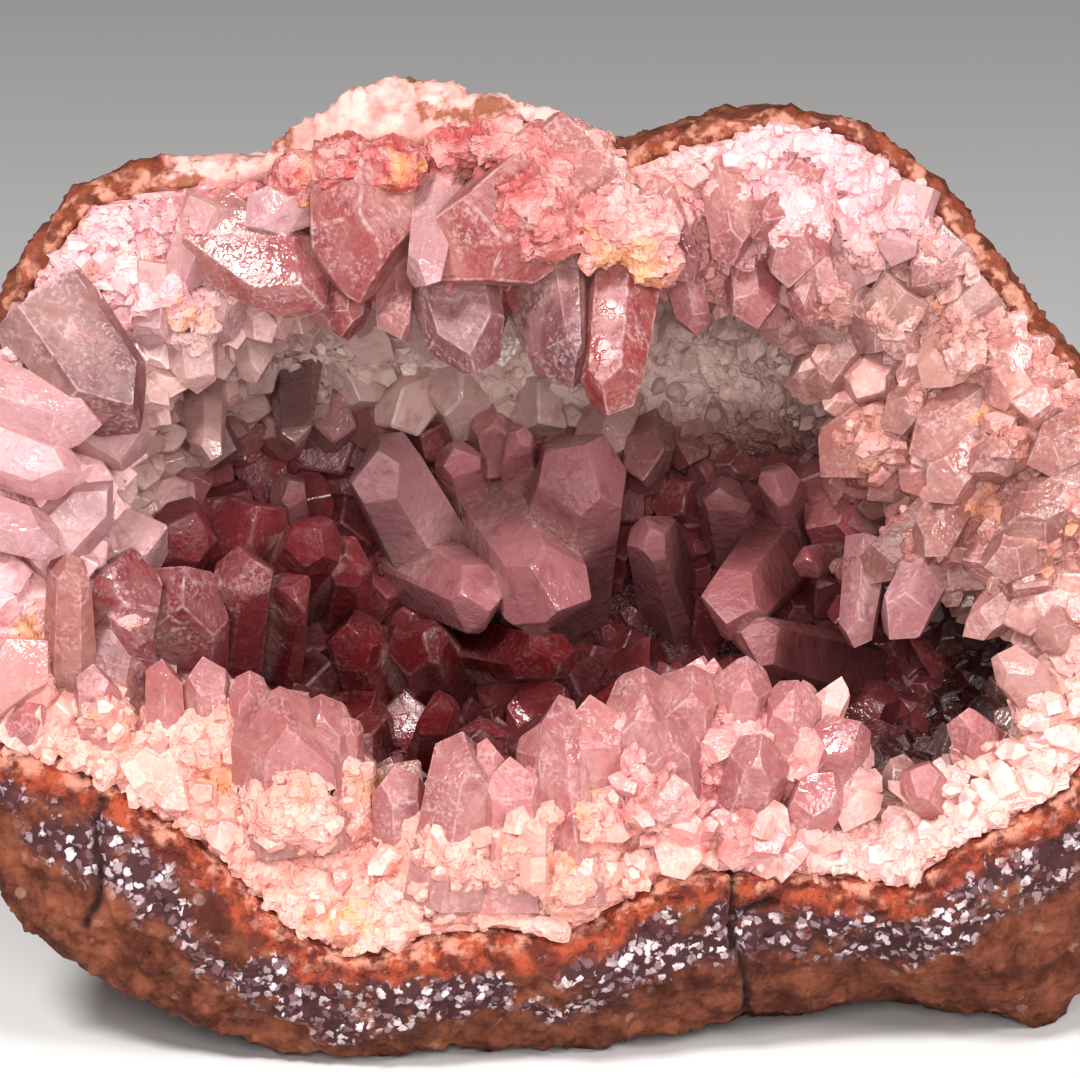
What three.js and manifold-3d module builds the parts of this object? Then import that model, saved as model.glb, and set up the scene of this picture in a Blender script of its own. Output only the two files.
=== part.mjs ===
// Quartz geode: a hollow nodule of volcanic rock, broken open, standing on its underside with the mouth
// towards -Y and leaning back. Millimetres, +Z up, origin at the bottom centre.
//
// The nodule is drawn in mouth coordinates and then leant back:
//   u  to the right across the mouth
//   v  up the face of the mouth, from the lowest point of the rock's outline
//   w  into the nodule, away from the front
// The rock and its quartz lining are rings of points round the mouth's centre. Each crystal is a
// six-sided prism with a six-sided point, cut out by flat planes. Crystals that overlap are one solid,
// and the lining trims their roots.
import * as THREE from "three";
import { ConvexGeometry } from "three/addons/geometries/ConvexGeometry.js";
import { mergeVertices } from "three/addons/utils/BufferGeometryUtils.js";
import Module from "manifold-3d";

const wasm = await Module();
wasm.setup();
const { Manifold, Mesh: ManifoldMesh } = wasm;

// ---------------------------------------------------------------- driving dimensions, mm and degrees
const LEAN = 15; // the mouth leans back by this angle
const FLARE = 1 / 800; // the body widens by this share for each millimetre of depth
const MIDDLE = { u: 1.3, v: 52.5 }; // the mouth's centre
const AXIS = { u: -0.7, v: 52.6 }; // the line that the flare spreads from
const SEAT_LIFT = 2.8; // how far the outline's lowest point stands above the ground
const ROCK_DEPTH = 64; // front of the mouth to the rock's back
const CAVITY_DEPTH = 49; // front of the mouth to the deepest lining
const LINING_THICK = 4.5; // quartz lining at the back of the cavity
const RIM_THICK = 1.2; // quartz lining where it runs out at the rim
const GAP = 0.35; // between neighbouring pieces
const RING_STEP = 9; // degrees between the meridians of the rock and the lining
const OUTSIDE_ROWS = 7; // rings of points round the rock's outside
const CAVITY_ROWS = 5; // rings of points down the cavity, and behind the lining
const LUMP_HEIGHT = 1.6; // the swelling of the rock's weathered back
const LUMP_SIZE = 13; // and how wide its lumps are
const LEAST_PIECE = 8; // mm3: a splinter left by trimming is dropped below this volume

// ---------------------------------------------------------------- outlines round the mouth
// Each list goes anticlockwise from the right (0 degrees), as [angle, radius] from the mouth's centre.
const ROCK_OUTLINE = [
  [0, 59], [20, 55], [31, 51.5], [43, 52.5], [55, 51.5], [66, 47.5], [73, 43.5], [78, 40], [84, 39],
  [96, 41], [108, 43], [120, 45], [130, 48.5], [135, 54], [142, 59.5], [155, 60.5], [170, 61.5],
  [185, 62.5], [203, 65], [213, 66.5], [222, 65], [230, 60.5], [240, 58.5], [253, 55], [261, 51.5],
  [274, 50.5], [286, 50], [296, 52], [303, 54.5], [309, 59], [314, 69], [319, 70.5], [330, 67], [341, 63],
];
const QUARTZ_OUTLINE = [
  [0, 56.5], [15, 54.5], [30, 49.5], [43, 50.5], [55, 49.5], [66, 45.5], [76, 38.5], [86, 36.8],
  [96, 38.5], [108, 40.5], [122, 43], [130, 46], [137, 52], [144, 57.5], [156, 58.5], [170, 59.5],
  [185, 60.5], [200, 60.5], [207, 52], [217, 47.5], [228, 46.5], [237, 47.5], [244, 46.5], [254, 40.5],
  [262, 39.3], [272, 39.5], [285, 35.2], [297, 37], [309, 42.5], [316, 49.5], [323, 50.5], [330, 54],
  [336, 57.5], [347, 58],
];
const MOUTH_OUTLINE = [
  [0, 35], [15, 33], [30, 31], [45, 29.5], [60, 29], [75, 28], [90, 28], [105, 30], [120, 32], [135, 36],
  [150, 41], [165, 45], [180, 46], [195, 45], [205, 40], [216, 35], [230, 33], [242, 32], [255, 29.5],
  [270, 27], [284, 25.5], [297, 28], [309, 36], [322, 41.5], [333, 43.5], [342, 44], [351, 38],
];
// How far into the nodule each outline lies. The mouth's lower lip is nearest the front.
const QUARTZ_EDGE_DEPTH = [[0, 4], [45, 6], [90, 8], [135, 6], [180, 3], [225, 0.5], [270, 0], [315, 1.5]];
const MOUTH_DEPTH = [
  [0, 17], [40, 18], [70, 14], [90, 13], [135, 12], [180, 13], [225, 6], [270, 5], [315, 9],
];
const ROCK_EDGE_DEPTH = [
  [0, 9], [45, 9], [90, 12], [135, 10], [180, 7], [210, 8], [232, 8], [253, 10], [275, 12], [290, 13],
  [303, 16], [314, 21], [325, 20], [340, 13],
];
// A shelf of quartz stands out from the back wall of the cavity, above the middle, and dips to the right.
const SHELF = { u: 4, v: 66.5, dip: 0.25, width: 22, height: 6.5, out: 9 };

// The split slab on top, from its left tip along the top and back along its underside, as [u, v].
const SLAB_OUTLINE = [
  [-35.7, 84.5], [-34.5, 87.3], [-30.7, 89.5], [-24.7, 94.5], [-20, 96.5], [-14.7, 99.1], [-9.5, 99.2],
  [-7.7, 97], [-2.5, 97.2], [2.3, 95.3], [3.6, 93.2], [1.3, 92], [-2.7, 93.4], [-7, 93], [-12, 91.8],
  [-19, 91.2], [-24, 89.4], [-31, 86.6],
];
const SLAB_DEPTH = { front: 5, back: 30 };
const SLAB_MIDDLE = -14;
const SLAB_SINK = 9; // how far its back end dips into the rock

// ---------------------------------------------------------------- crystals
// Each row is [tip u, tip v, tip w, root u, root v, width]. The root's depth is the lining's there.
const CRYSTALS = {
  ceiling_left_crystals: [
    [-21.5, 76, 5, -31.2, 82.5, 8.5],
    [-30.9, 84, 3, -22.7, 87.5, 5.5],
    [-17.5, 75.7, 3, -18.7, 89, 11.5],
    [-11.9, 77.9, 1, -11.7, 87.5, 4.5],
    [-9.7, 75.3, 4, -10.7, 86.5, 11],
    [-4.2, 76.5, 5, -2.7, 87.5, 9],
    [1.3, 82, 4, -0.2, 90, 7.5],
    [-14.9, 72, 9, -14.9, 78, 4],
    [-7.3, 68.3, 10, -9.7, 77.5, 7.5],
  ],
  hanging_crystals: [
    [1.3, 67.3, 5, 0.8, 82, 8.5],
    [5.7, 64.5, 2, 8.1, 83.5, 7.6],
  ],
  ceiling_right_crystals: [
    [14.8, 77.5, 7, 11.3, 85.5, 5],
    [15.3, 72.5, 12, 13.3, 80.5, 5],
    [18.8, 79.5, 6, 17.8, 87, 5.5],
    [24.3, 77, 6, 25.3, 85, 7],
    [20.9, 73.3, 9, 20.3, 81, 5.5],
  ],
  right_wall_crystals: [
    [30.3, 77, 8, 32.8, 82, 4.8],
    [34.6, 79.3, 6, 36, 85, 5],
    [37.3, 67, 6, 41, 72, 5.5],
    [25.8, 71.5, 14, 29.3, 77, 6],
    [31, 70.5, 11, 34.8, 75.5, 6],
    [26, 66, 15, 30.3, 71.5, 5.5],
    [26.3, 58.5, 14, 33.8, 64, 8.5],
    [35.8, 60.5, 7, 41.8, 65, 6],
    [37.3, 56, 6, 43.3, 62, 6.5],
    [37.4, 50.3, 6, 41.3, 57.5, 5.5],
    [33.8, 42, 11, 38.6, 50.5, 6.5],
    [31.8, 47.5, 14, 37.8, 53.5, 6],
  ],
  far_right_crystals: [
    [43.3, 49.5, 2, 49.8, 52.3, 5.5],
    [41.8, 59, 5, 47.3, 61.8, 5],
    [45.3, 53.5, 2, 52, 57, 6],
    [47.8, 60, 3, 53.3, 63, 5],
    [49, 44.7, 0, 53.3, 42, 5],
    [45, 41.5, 0, 49.8, 36.5, 5],
  ],
  left_wall_crystals: [
    [-40.7, 62.5, 5, -49.2, 74, 9],
    [-44.7, 72, 1, -53.2, 74, 7],
    [-44, 63.5, 2, -54.2, 66.8, 6.5],
    [-46.2, 58.5, 1, -55.2, 61.5, 6],
    [-48.2, 52, 0, -56.2, 54.5, 7],
    [-39.7, 61, 14, -49, 67, 8],
    [-43, 59, 10, -50, 52, 8],
    [-47.9, 51.4, 1, -47.7, 40, 4.8],
    [-49.7, 42.8, -1, -56, 38.2, 8],
  ],
  upper_left_crystals: [
    [-37.7, 76, 9, -34.7, 84, 5],
    [-33.2, 71.5, 12, -31.7, 79, 5.5],
    [-40, 71, 9, -39.2, 77.5, 5],
    [-35.2, 66.5, 12, -36, 74, 6],
    [-33.5, 60.1, 15, -34, 70, 5.4],
    [-25, 62, 22, -25, 69.5, 4.8],
  ],
  back_crystals: [
    [-17.5, 61.8, 27, -11.7, 50.5, 9.5],
    [-9.2, 61.5, 33, -7.7, 55.5, 6],
    [-5, 45.5, 27, -13.7, 50.5, 9],
    [1.3, 45.5, 24, -4.7, 55.5, 11],
    [1.3, 40, 21, -5.7, 41, 8.5],
    [4.3, 62.5, 25, 1.3, 48.5, 11.5],
    [-25.7, 58.7, 32, -25.7, 52, 6],
    [-19.7, 44.5, 26, -16.7, 36, 8],
    [-12.7, 43.5, 25, -10.7, 36.5, 8],
    [-10.7, 36.5, 19, -11.7, 29.5, 6],
    [10.3, 54, 28, 12.3, 46, 7.5],
    [16.8, 58, 28, 19.3, 50, 7],
    [22.8, 59.5, 26, 24.8, 53, 6],
  ],
  floor_left_crystals: [
    [-41.2, 52.5, 10, -43.7, 44, 7],
    [-35.2, 55.7, 17, -39.7, 47.5, 6.5],
    [-28.5, 56.4, 22, -33.2, 47.5, 8],
    [-36.2, 50.8, 10, -37.2, 38.5, 7.5],
    [-29.7, 51, 12, -32.2, 38.5, 6.5],
    [-22, 53.8, 18, -27.7, 45.5, 6.5],
    [-20.2, 51.2, 23, -20.7, 43.5, 5],
    [-42.7, 46.5, 9, -43.7, 38, 7],
  ],
  floor_right_crystals: [
    [17.5, 43.7, 16, 24.3, 52, 9.5],
    [25.3, 50.5, 16, 31, 50.5, 5.5],
    [19.3, 43, 17, 29.8, 39.5, 7],
  ],
  rim_left_crystals: [
    [-45.2, 40.5, 1, -44.7, 33.5, 5],
    [-34.7, 41.3, 4, -33.5, 32.5, 5.5],
    [-29.7, 40, 2, -29.9, 31, 5],
    [-51.7, 36.5, -1, -52.7, 30.5, 5],
    [-26.2, 39, -1.5, -25, 25.5, 11],
  ],
  rim_front_crystals: [
    [-15.2, 30.5, 0, -14.4, 22, 5.5],
    [-8.1, 34.2, -2, -9.8, 19.5, 8],
    [-3.5, 31.3, -2.5, -3, 19, 7],
    [-0.9, 35, 0.5, 0.6, 23.5, 6.5],
    [4.4, 38, 0.5, 5.2, 26, 8],
    [9.6, 40.5, 1, 8.6, 28.5, 8.5],
    [11.6, 35.4, -2, 12.2, 24.5, 7],
    [14.9, 41, 1.5, 14, 29.5, 8],
    [20.3, 41.3, 2, 18.3, 30, 7],
  ],
  rim_right_crystals: [
    [25.6, 39, 2, 22.3, 28.5, 6.5],
    [31.6, 35, 0.5, 25.8, 27.5, 6.5],
    [21.5, 33.5, -1.5, 19, 24, 7.5],
    [28.6, 29.6, 0, 25, 23.5, 6],
    [40.8, 35, 1, 44.3, 31.5, 5],
    [36.3, 29.5, 0, 39.3, 26.5, 5],
  ],
};
const POINT_ANGLE = 51.8; // between a pyramid face's normal and the crystal's axis
const TAPER = { least: 1, most: 5 }; // degrees that the prism faces lean in towards the point
const THREE_FACED = 7.2; // a crystal no wider than this has only three faces at its point
const ROOT_SINK = 4; // how far a crystal is drawn on below the lining, before it is trimmed

// ---------------------------------------------------------------- helpers
const radians = THREE.MathUtils.degToRad;
const shares = (n) => Array.from({ length: n }, (_, i) => (i + 1) / n);

// A repeatable stream of numbers from 0 to 1.
function chance(seed) {
  let state = seed * 7919 + 17;
  return () => {
    state = (state * 1664525 + 1013904223) % 4294967296;
    return state / 4294967296;
  };
}

// A smooth closed curve through [angle, value] pairs, as a function of the angle in degrees.
function ring(pairs) {
  const at = (i) => {
    const turns = Math.floor(i / pairs.length);
    const [angle, value] = pairs[i - turns * pairs.length];
    return [angle + 360 * turns, value];
  };
  const slope = (i) => (at(i + 1)[1] - at(i - 1)[1]) / (at(i + 1)[0] - at(i - 1)[0]);
  return (degrees) => {
    const angle = THREE.MathUtils.euclideanModulo(degrees, 360);
    let i = pairs.length - 1;
    while (at(i)[0] > angle) i -= 1;
    const [from, start] = at(i);
    const [to, end] = at(i + 1);
    const t = (angle - from) / (to - from);
    const ease = t * t * (3 - 2 * t);
    const bend = slope(i) * (1 - t) - slope(i + 1) * t;
    return start + (end - start) * ease + t * (1 - t) * (to - from) * bend;
  };
}

const rockRadius = ring(ROCK_OUTLINE);
const quartzRadius = ring(QUARTZ_OUTLINE);
const mouthRadius = ring(MOUTH_OUTLINE);
const quartzEdgeDepth = ring(QUARTZ_EDGE_DEPTH);
const mouthDepth = ring(MOUTH_DEPTH);
const rockEdgeDepth = ring(ROCK_EDGE_DEPTH);

// From mouth coordinates to the part's frame.
function place(u, v, w) {
  const spread = 1 + FLARE * w;
  const across = AXIS.u + (u - AXIS.u) * spread;
  const up = AXIS.v + (v - AXIS.v) * spread;
  const lean = radians(LEAN);
  return new THREE.Vector3(
    across,
    up * Math.sin(lean) + w * Math.cos(lean),
    up * Math.cos(lean) - w * Math.sin(lean) + SEAT_LIFT,
  );
}

// Low, wide lumps between -1 and 1.
function lumps(p, size) {
  const [x, y, z] = [p.x / size, p.y / size, p.z / size];
  const first = Math.sin(x * 1.9 + 1.3 * Math.sin(y * 1.1 + 0.7));
  const second = Math.sin(y * 2.3 + 1.7 * Math.sin(z * 0.9 + 2.1));
  const third = Math.sin(z * 2.1 + 1.1 * Math.sin(x * 1.3 + 4.2));
  return (first + second + third) / 3;
}

// ---------------------------------------------------------------- profiles on one meridian, as [radius, w]
// A bowl from its lip to its deepest point on the axis, at 0 < t <= 1.
function bowl([radius, lip], deepest, t) {
  const turn = (t * Math.PI) / 2;
  return [
    t < 1 ? radius * Math.cos(turn) ** 0.62 : 0,
    lip + (deepest - lip) * Math.sin(turn) ** 1.1,
  ];
}

// The lining's inside: from the rim in over the broken face, and down into the cavity.
function cavityProfile(degrees, inset = 0) {
  const rim = quartzRadius(degrees);
  const mouth = mouthRadius(degrees);
  const near = quartzEdgeDepth(degrees);
  const deep = mouthDepth(degrees);
  const face = [0, 0.3, 0.6, 0.85, 1].map((t) => [
    rim + (mouth - rim) * t,
    near + (deep - near) * t ** 1.7 - inset,
  ]);
  const wall = shares(CAVITY_ROWS).map((t) => bowl([mouth - inset, deep - inset], CAVITY_DEPTH - inset, t));
  const angle = radians(degrees);
  for (const point of wall) {
    const across = (MIDDLE.u + point[0] * Math.cos(angle) - SHELF.u) / SHELF.width;
    const middle = SHELF.v - SHELF.dip * SHELF.width * across;
    const up = (MIDDLE.v + point[0] * Math.sin(angle) - middle) / SHELF.height;
    point[1] -= SHELF.out * Math.exp(-(across ** 2) - up ** 2);
  }
  return [...face, ...wall];
}

// The lining's back. With a gap added, it is the rock's inside.
function backingProfile(degrees, gap = 0) {
  const rim = quartzRadius(degrees) - GAP / 2;
  const mouth = mouthRadius(degrees);
  const thick = Math.min(Math.max(0.5 * (rim - mouth), 3), 6);
  const edge = [rim + gap, quartzEdgeDepth(degrees) + RIM_THICK + 1.5 * gap];
  const lip = [mouth + thick + gap, mouthDepth(degrees) + 5 + gap];
  const wall = shares(CAVITY_ROWS).map((t) => bowl(lip, CAVITY_DEPTH + LINING_THICK + gap, t));
  return [edge, lip, ...wall];
}

// The outline's radius averaged over a wide arc, which the rock's back follows.
function evenRadius(degrees) {
  const around = [-50, -40, -30, -20, -10, 0, 10, 20, 30, 40, 50];
  return around.reduce((sum, turn) => sum + rockRadius(degrees + turn), 0) / around.length;
}

// The rock's outside: from the axis at its back, round to the outline. It is fullest underneath.
function outsideProfile(degrees) {
  const edge = rockEdgeDepth(degrees);
  const down = Math.max(0, -Math.sin(radians(degrees)));
  return shares(OUTSIDE_ROWS)
    .reverse()
    .map((t) => {
      const turn = (t * Math.PI) / 2;
      const fullness = t < 1 ? Math.cos(turn) ** (0.72 - 0.16 * down) : 0;
      const radius = THREE.MathUtils.lerp(rockRadius(degrees), evenRadius(degrees), t ** 0.6);
      return [radius * fullness, edge + (ROCK_DEPTH - edge) * Math.sin(turn)];
    });
}

// The rock's broken face: from the outline in to the lining.
function brokenFaceProfile(degrees) {
  const outline = rockRadius(degrees);
  const rim = quartzRadius(degrees) + GAP / 2;
  const near = quartzEdgeDepth(degrees) + 0.3;
  const edge = rockEdgeDepth(degrees);
  return [0, 0.34, 0.68, 1].map((t) => [
    outline + (rim - outline) * t,
    edge + (near - edge) * (1 - (1 - t) ** 2.2),
  ]);
}

// ---------------------------------------------------------------- closed shapes
const MERIDIANS = Array.from({ length: 360 / RING_STEP }, (_, i) => i * RING_STEP);

// A closed surface from one profile on each meridian, from the axis at the back to the axis in front.
function turned(profileAt, reshape = (p) => p) {
  const profiles = MERIDIANS.map(profileAt);
  const rows = profiles[0].length;
  const columns = profiles.length;
  const point = (column, row) => {
    const angle = radians(MERIDIANS[column]);
    const [radius, w] = profiles[column][row];
    return reshape(
      place(MIDDLE.u + radius * Math.cos(angle), MIDDLE.v + radius * Math.sin(angle), w),
      row,
    );
  };
  const points = [point(0, 0)];
  for (let row = 1; row < rows - 1; row++)
    for (let column = 0; column < columns; column++) points.push(point(column, row));
  points.push(point(0, rows - 1));
  const at = (row, column) => 1 + (row - 1) * columns + (column % columns);
  const faces = [];
  for (let column = 0; column < columns; column++) {
    faces.push(0, at(1, column + 1), at(1, column));
    for (let row = 1; row < rows - 2; row++) {
      const [a, b] = [at(row, column), at(row, column + 1)];
      const [c, d] = [at(row + 1, column), at(row + 1, column + 1)];
      const alongAD = points[a].distanceTo(points[d]) < points[b].distanceTo(points[c]);
      faces.push(...(alongAD ? [a, b, d, a, d, c] : [a, b, c, b, d, c]));
    }
    faces.push(at(rows - 2, column), at(rows - 2, column + 1), points.length - 1);
  }
  const geometry = new THREE.BufferGeometry().setFromPoints(points);
  geometry.setIndex(faces);
  return solidOf(geometry);
}

function solidOf(geometry) {
  const bare = geometry.clone();
  bare.deleteAttribute("normal");
  bare.deleteAttribute("uv");
  const merged = mergeVertices(bare, 1e-4);
  return new Manifold(
    new ManifoldMesh({
      numProp: 3,
      vertProperties: merged.attributes.position.array,
      triVerts: new Uint32Array(merged.index.array),
    }),
  );
}

function geometryOf(solid) {
  const mesh = solid.getMesh();
  const geometry = new THREE.BufferGeometry();
  geometry.setAttribute("position", new THREE.BufferAttribute(mesh.vertProperties, 3));
  geometry.setIndex(new THREE.BufferAttribute(mesh.triVerts, 1));
  return geometry;
}

const join = (solids) => solids.reduce((all, solid) => all.add(solid));

// ---------------------------------------------------------------- the rock and its lining
// The rock's outside swells in low lumps towards its back, and is flat where it stands.
function weathered(p, row) {
  if (row >= OUTSIDE_ROWS + brokenFaceProfile(0).length) return p;
  const moved = p.clone();
  if (row < OUTSIDE_ROWS) {
    const away = p.clone().sub(place(MIDDLE.u, MIDDLE.v, ROCK_DEPTH / 2)).normalize();
    const swell = LUMP_HEIGHT * THREE.MathUtils.clamp((p.y - 16) / 14, 0, 1);
    moved.addScaledVector(away, swell * lumps(p, LUMP_SIZE));
  }
  moved.z = Math.max(moved.z, 0);
  return moved;
}

function slab() {
  const shape = new THREE.Shape(SLAB_OUTLINE.map(([u, v]) => new THREE.Vector2(u, v)));
  const depth = SLAB_DEPTH.back - SLAB_DEPTH.front;
  const geometry = new THREE.ExtrudeGeometry(shape, { depth, bevelEnabled: false, steps: 1 });
  const position = geometry.attributes.position;
  for (let i = 0; i < position.count; i++) {
    // The front edge curves back towards its two ends, and the back end sinks into the rock.
    const u = position.getX(i);
    const fromMiddle = u - SLAB_MIDDLE;
    const inFront = position.getZ(i) > 0;
    const p = inFront
      ? place(u, position.getY(i), SLAB_DEPTH.front + 0.006 * fromMiddle ** 2)
      : place(SLAB_MIDDLE + 0.7 * fromMiddle, position.getY(i) - SLAB_SINK, SLAB_DEPTH.back);
    position.setXYZ(i, p.x, p.y, p.z);
  }
  return solidOf(geometry);
}

function hostRock() {
  const body = turned(
    (degrees) => [
      ...outsideProfile(degrees),
      ...brokenFaceProfile(degrees),
      ...backingProfile(degrees, GAP),
    ],
    weathered,
  );
  const overLining = turned((degrees) => [
    ...backingProfile(degrees, GAP).reverse(),
    ...cavityProfile(degrees, GAP).map(([radius, w], i) => [radius + (i === 0 ? GAP / 2 : 0), w]),
  ]);
  return body.add(slab()).subtract(overLining);
}

function quartzLining() {
  return turned((degrees) => [
    ...backingProfile(degrees).reverse(),
    ...cavityProfile(degrees).map(([radius, w], i) => [radius - (i === 0 ? GAP / 2 : 0), w]),
  ]);
}

// ---------------------------------------------------------------- the crystals
// The depth of the lining's inside behind a point of the mouth.
function liningDepth(u, v) {
  const degrees = THREE.MathUtils.radToDeg(Math.atan2(v - MIDDLE.v, u - MIDDLE.u));
  const radius = Math.hypot(u - MIDDLE.u, v - MIDDLE.v);
  const profile = cavityProfile(degrees);
  const next = profile.findIndex((point) => point[0] <= radius);
  if (next < 1) return profile[0][1];
  const [[r0, w0], [r1, w1]] = [profile[next - 1], profile[next]];
  return w0 + ((w1 - w0) * (r0 - radius)) / (r0 - r1);
}

// A convex solid from planes, each facing out, as [normal, distance from the origin].
function cutByPlanes(planes) {
  const corners = [];
  for (const [i, [a, da]] of planes.entries())
    for (const [j, [b, db]] of planes.slice(0, i).entries())
      for (const [c, dc] of planes.slice(0, j)) {
        const bc = new THREE.Vector3().crossVectors(b, c);
        const volume = a.dot(bc);
        if (Math.abs(volume) < 1e-6) continue;
        const corner = bc
          .multiplyScalar(da)
          .addScaledVector(new THREE.Vector3().crossVectors(c, a), db)
          .addScaledVector(new THREE.Vector3().crossVectors(a, b), dc)
          .divideScalar(volume);
        const inside = planes.every(([normal, distance]) => normal.dot(corner) < distance + 1e-5);
        if (inside && corners.every((other) => other.distanceTo(corner) > 1e-3)) corners.push(corner);
      }
  return new ConvexGeometry(corners);
}

// A quartz crystal: three large and three small faces make its point.
function crystal([tipU, tipV, tipW, rootU, rootV, width], seed) {
  const random = chance(seed);
  const tip = place(tipU, tipV, tipW);
  const root = place(rootU, rootV, liningDepth(rootU, rootV));
  const axis = tip.clone().sub(root).normalize();
  const side = new THREE.Vector3(0, 0, 1).cross(axis).normalize();
  const turn = random() * 60;
  const taper = TAPER.least + (TAPER.most - TAPER.least) * random();
  const planes = [[axis.clone().negate(), -axis.dot(root) + ROOT_SINK]];
  for (let face = 0; face < 6; face++) {
    const across = side.clone().applyAxisAngle(axis, radians(turn + 60 * face));
    const tilted = (degrees) =>
      across
        .clone()
        .multiplyScalar(Math.cos(radians(degrees)))
        .addScaledVector(axis, Math.sin(radians(degrees)));
    const prism = tilted(taper);
    const pyramid = tilted(90 - POINT_ANGLE);
    const reach = (width / 2) * (0.84 + 0.3 * random());
    planes.push([prism, prism.dot(root) + reach * Math.cos(radians(taper))]);
    const setBack = width * (0.03 + 0.1 * random());
    if (face % 2 === 0) planes.push([pyramid, pyramid.dot(tip)]);
    else if (width > THREE_FACED) planes.push([pyramid, pyramid.dot(tip) + setBack]);
  }
  return solidOf(cutByPlanes(planes));
}

// The space in front of the lining, out past the mouth.
function openSpace() {
  const front = -40;
  return turned((degrees) => [
    ...cavityProfile(degrees, GAP)
      .reverse()
      .map(([radius, w], i, all) => [radius - (i === all.length - 1 ? 2 * GAP : 0), w]),
    [quartzRadius(degrees) - 2 * GAP, front],
    [0, front],
  ]);
}

// Crystals that touch one another, in any zone, are one body, named after most of its crystals.
function crystalBodies() {
  const space = openSpace();
  const made = Object.entries(CRYSTALS).flatMap(([zone, rows], z) =>
    rows.map((row, i) => ({ zone, solid: crystal(row, 100 * z + i) })),
  );
  const bodies = join(made.map(({ solid }) => solid))
    .intersect(space)
    .decompose()
    .filter((body) => body.volume() > LEAST_PIECE);
  return bodies.map((body) => {
    const share = {};
    for (const { zone, solid } of made)
      share[zone] = (share[zone] ?? 0) + body.intersect(solid).volume();
    const [zone] = Object.entries(share).sort((a, b) => b[1] - a[1])[0];
    return { zone, body };
  });
}

// ---------------------------------------------------------------- the geode
const stone = (color, roughness) => new THREE.MeshStandardMaterial({ color, roughness, metalness: 0 });
const ROCK = stone(0x8a4a30, 0.9);
const LINING = stone(0xf0d2c4, 0.6);
const ROSE = stone(0xd98a84, 0.25);

const geode = new THREE.Group();
function add(name, solid, material) {
  const geometry = geometryOf(solid);
  const mesh = new THREE.Mesh(geometry, material);
  mesh.name = name;
  geometry.computeBoundingBox();
  geometry.boundingBox.getCenter(mesh.position);
  geometry.translate(-mesh.position.x, -mesh.position.y, -mesh.position.z);
  geode.add(mesh);
}
add("host_rock", hostRock(), ROCK);
add("quartz_lining", quartzLining(), LINING);
const used = {};
for (const { zone, body } of crystalBodies()) {
  used[zone] = (used[zone] ?? 0) + 1;
  add(used[zone] > 1 ? `${zone}_${used[zone]}` : zone, body, ROSE);
}

// The origin is the bottom centre of the whole piece.
const bounds = new THREE.Box3().setFromObject(geode);
const centre = bounds.getCenter(new THREE.Vector3());
geode.position.set(-centre.x, -centre.y, -bounds.min.z);

export default geode;
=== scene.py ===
# %% [markdown]
# # A broken-open quartz geode
# A hollow nodule of reddish volcanic rock, lined with a sugary crust of quartz, with rose
# quartz points growing into the hollow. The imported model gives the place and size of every
# solid. This file gives each one its real surface: weathered and broken rock, grainy crust,
# large see-through points and thousands of small ones.

# %% Load the model and keep its box
import math
from collections import namedtuple
from itertools import combinations

import bmesh
import bpy
import numpy as np
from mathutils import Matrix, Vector, noise
from mathutils.bvhtree import BVHTree


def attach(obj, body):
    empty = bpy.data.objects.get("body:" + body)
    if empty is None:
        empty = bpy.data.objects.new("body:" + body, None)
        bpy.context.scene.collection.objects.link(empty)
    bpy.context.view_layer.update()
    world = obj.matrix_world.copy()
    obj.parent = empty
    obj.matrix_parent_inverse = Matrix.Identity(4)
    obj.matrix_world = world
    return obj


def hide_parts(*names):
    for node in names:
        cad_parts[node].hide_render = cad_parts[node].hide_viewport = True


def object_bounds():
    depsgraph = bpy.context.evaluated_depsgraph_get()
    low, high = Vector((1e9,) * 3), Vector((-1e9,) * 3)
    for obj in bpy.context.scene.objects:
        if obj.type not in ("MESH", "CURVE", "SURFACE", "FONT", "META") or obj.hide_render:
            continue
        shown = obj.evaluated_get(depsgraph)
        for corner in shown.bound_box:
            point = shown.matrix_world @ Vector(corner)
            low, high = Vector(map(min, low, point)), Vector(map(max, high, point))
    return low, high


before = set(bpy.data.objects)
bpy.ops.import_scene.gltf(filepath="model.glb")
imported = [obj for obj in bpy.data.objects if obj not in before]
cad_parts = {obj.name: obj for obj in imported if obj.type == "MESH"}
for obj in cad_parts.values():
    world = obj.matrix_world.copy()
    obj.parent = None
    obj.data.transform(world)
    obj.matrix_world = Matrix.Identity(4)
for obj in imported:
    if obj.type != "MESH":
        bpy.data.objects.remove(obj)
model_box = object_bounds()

MM = 0.001
box_in_mm = [round(c / MM, 1) for corner in model_box for c in corner]
print("nodes:", len(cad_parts), "box, mm:", box_in_mm)

# %% [markdown]
# ## Finding places on the piece
# The mouth of the geode leans back by 15 degrees, so heights and depths are awkward in the
# model's own axes. It helps to think as someone who faces the mouth does: u is to the
# right, v is up the face of the mouth, and w is how far in. Two functions turn one kind of
# place into the other, for whole arrays of points at once. All mouth places are in mm.

# %% Mouth coordinates
LEAN = math.radians(15)
MOUTH_FOOT = (-0.33, -41.15, 2.8)  # the place u = v = w = 0 in the model's frame
VIEW_U, VIEW_V = -0.7, 52.6  # the line of sight through the middle of the view
VIEW_DISTANCE = 800.0
VIEW_WIDTH = 108.0


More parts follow.
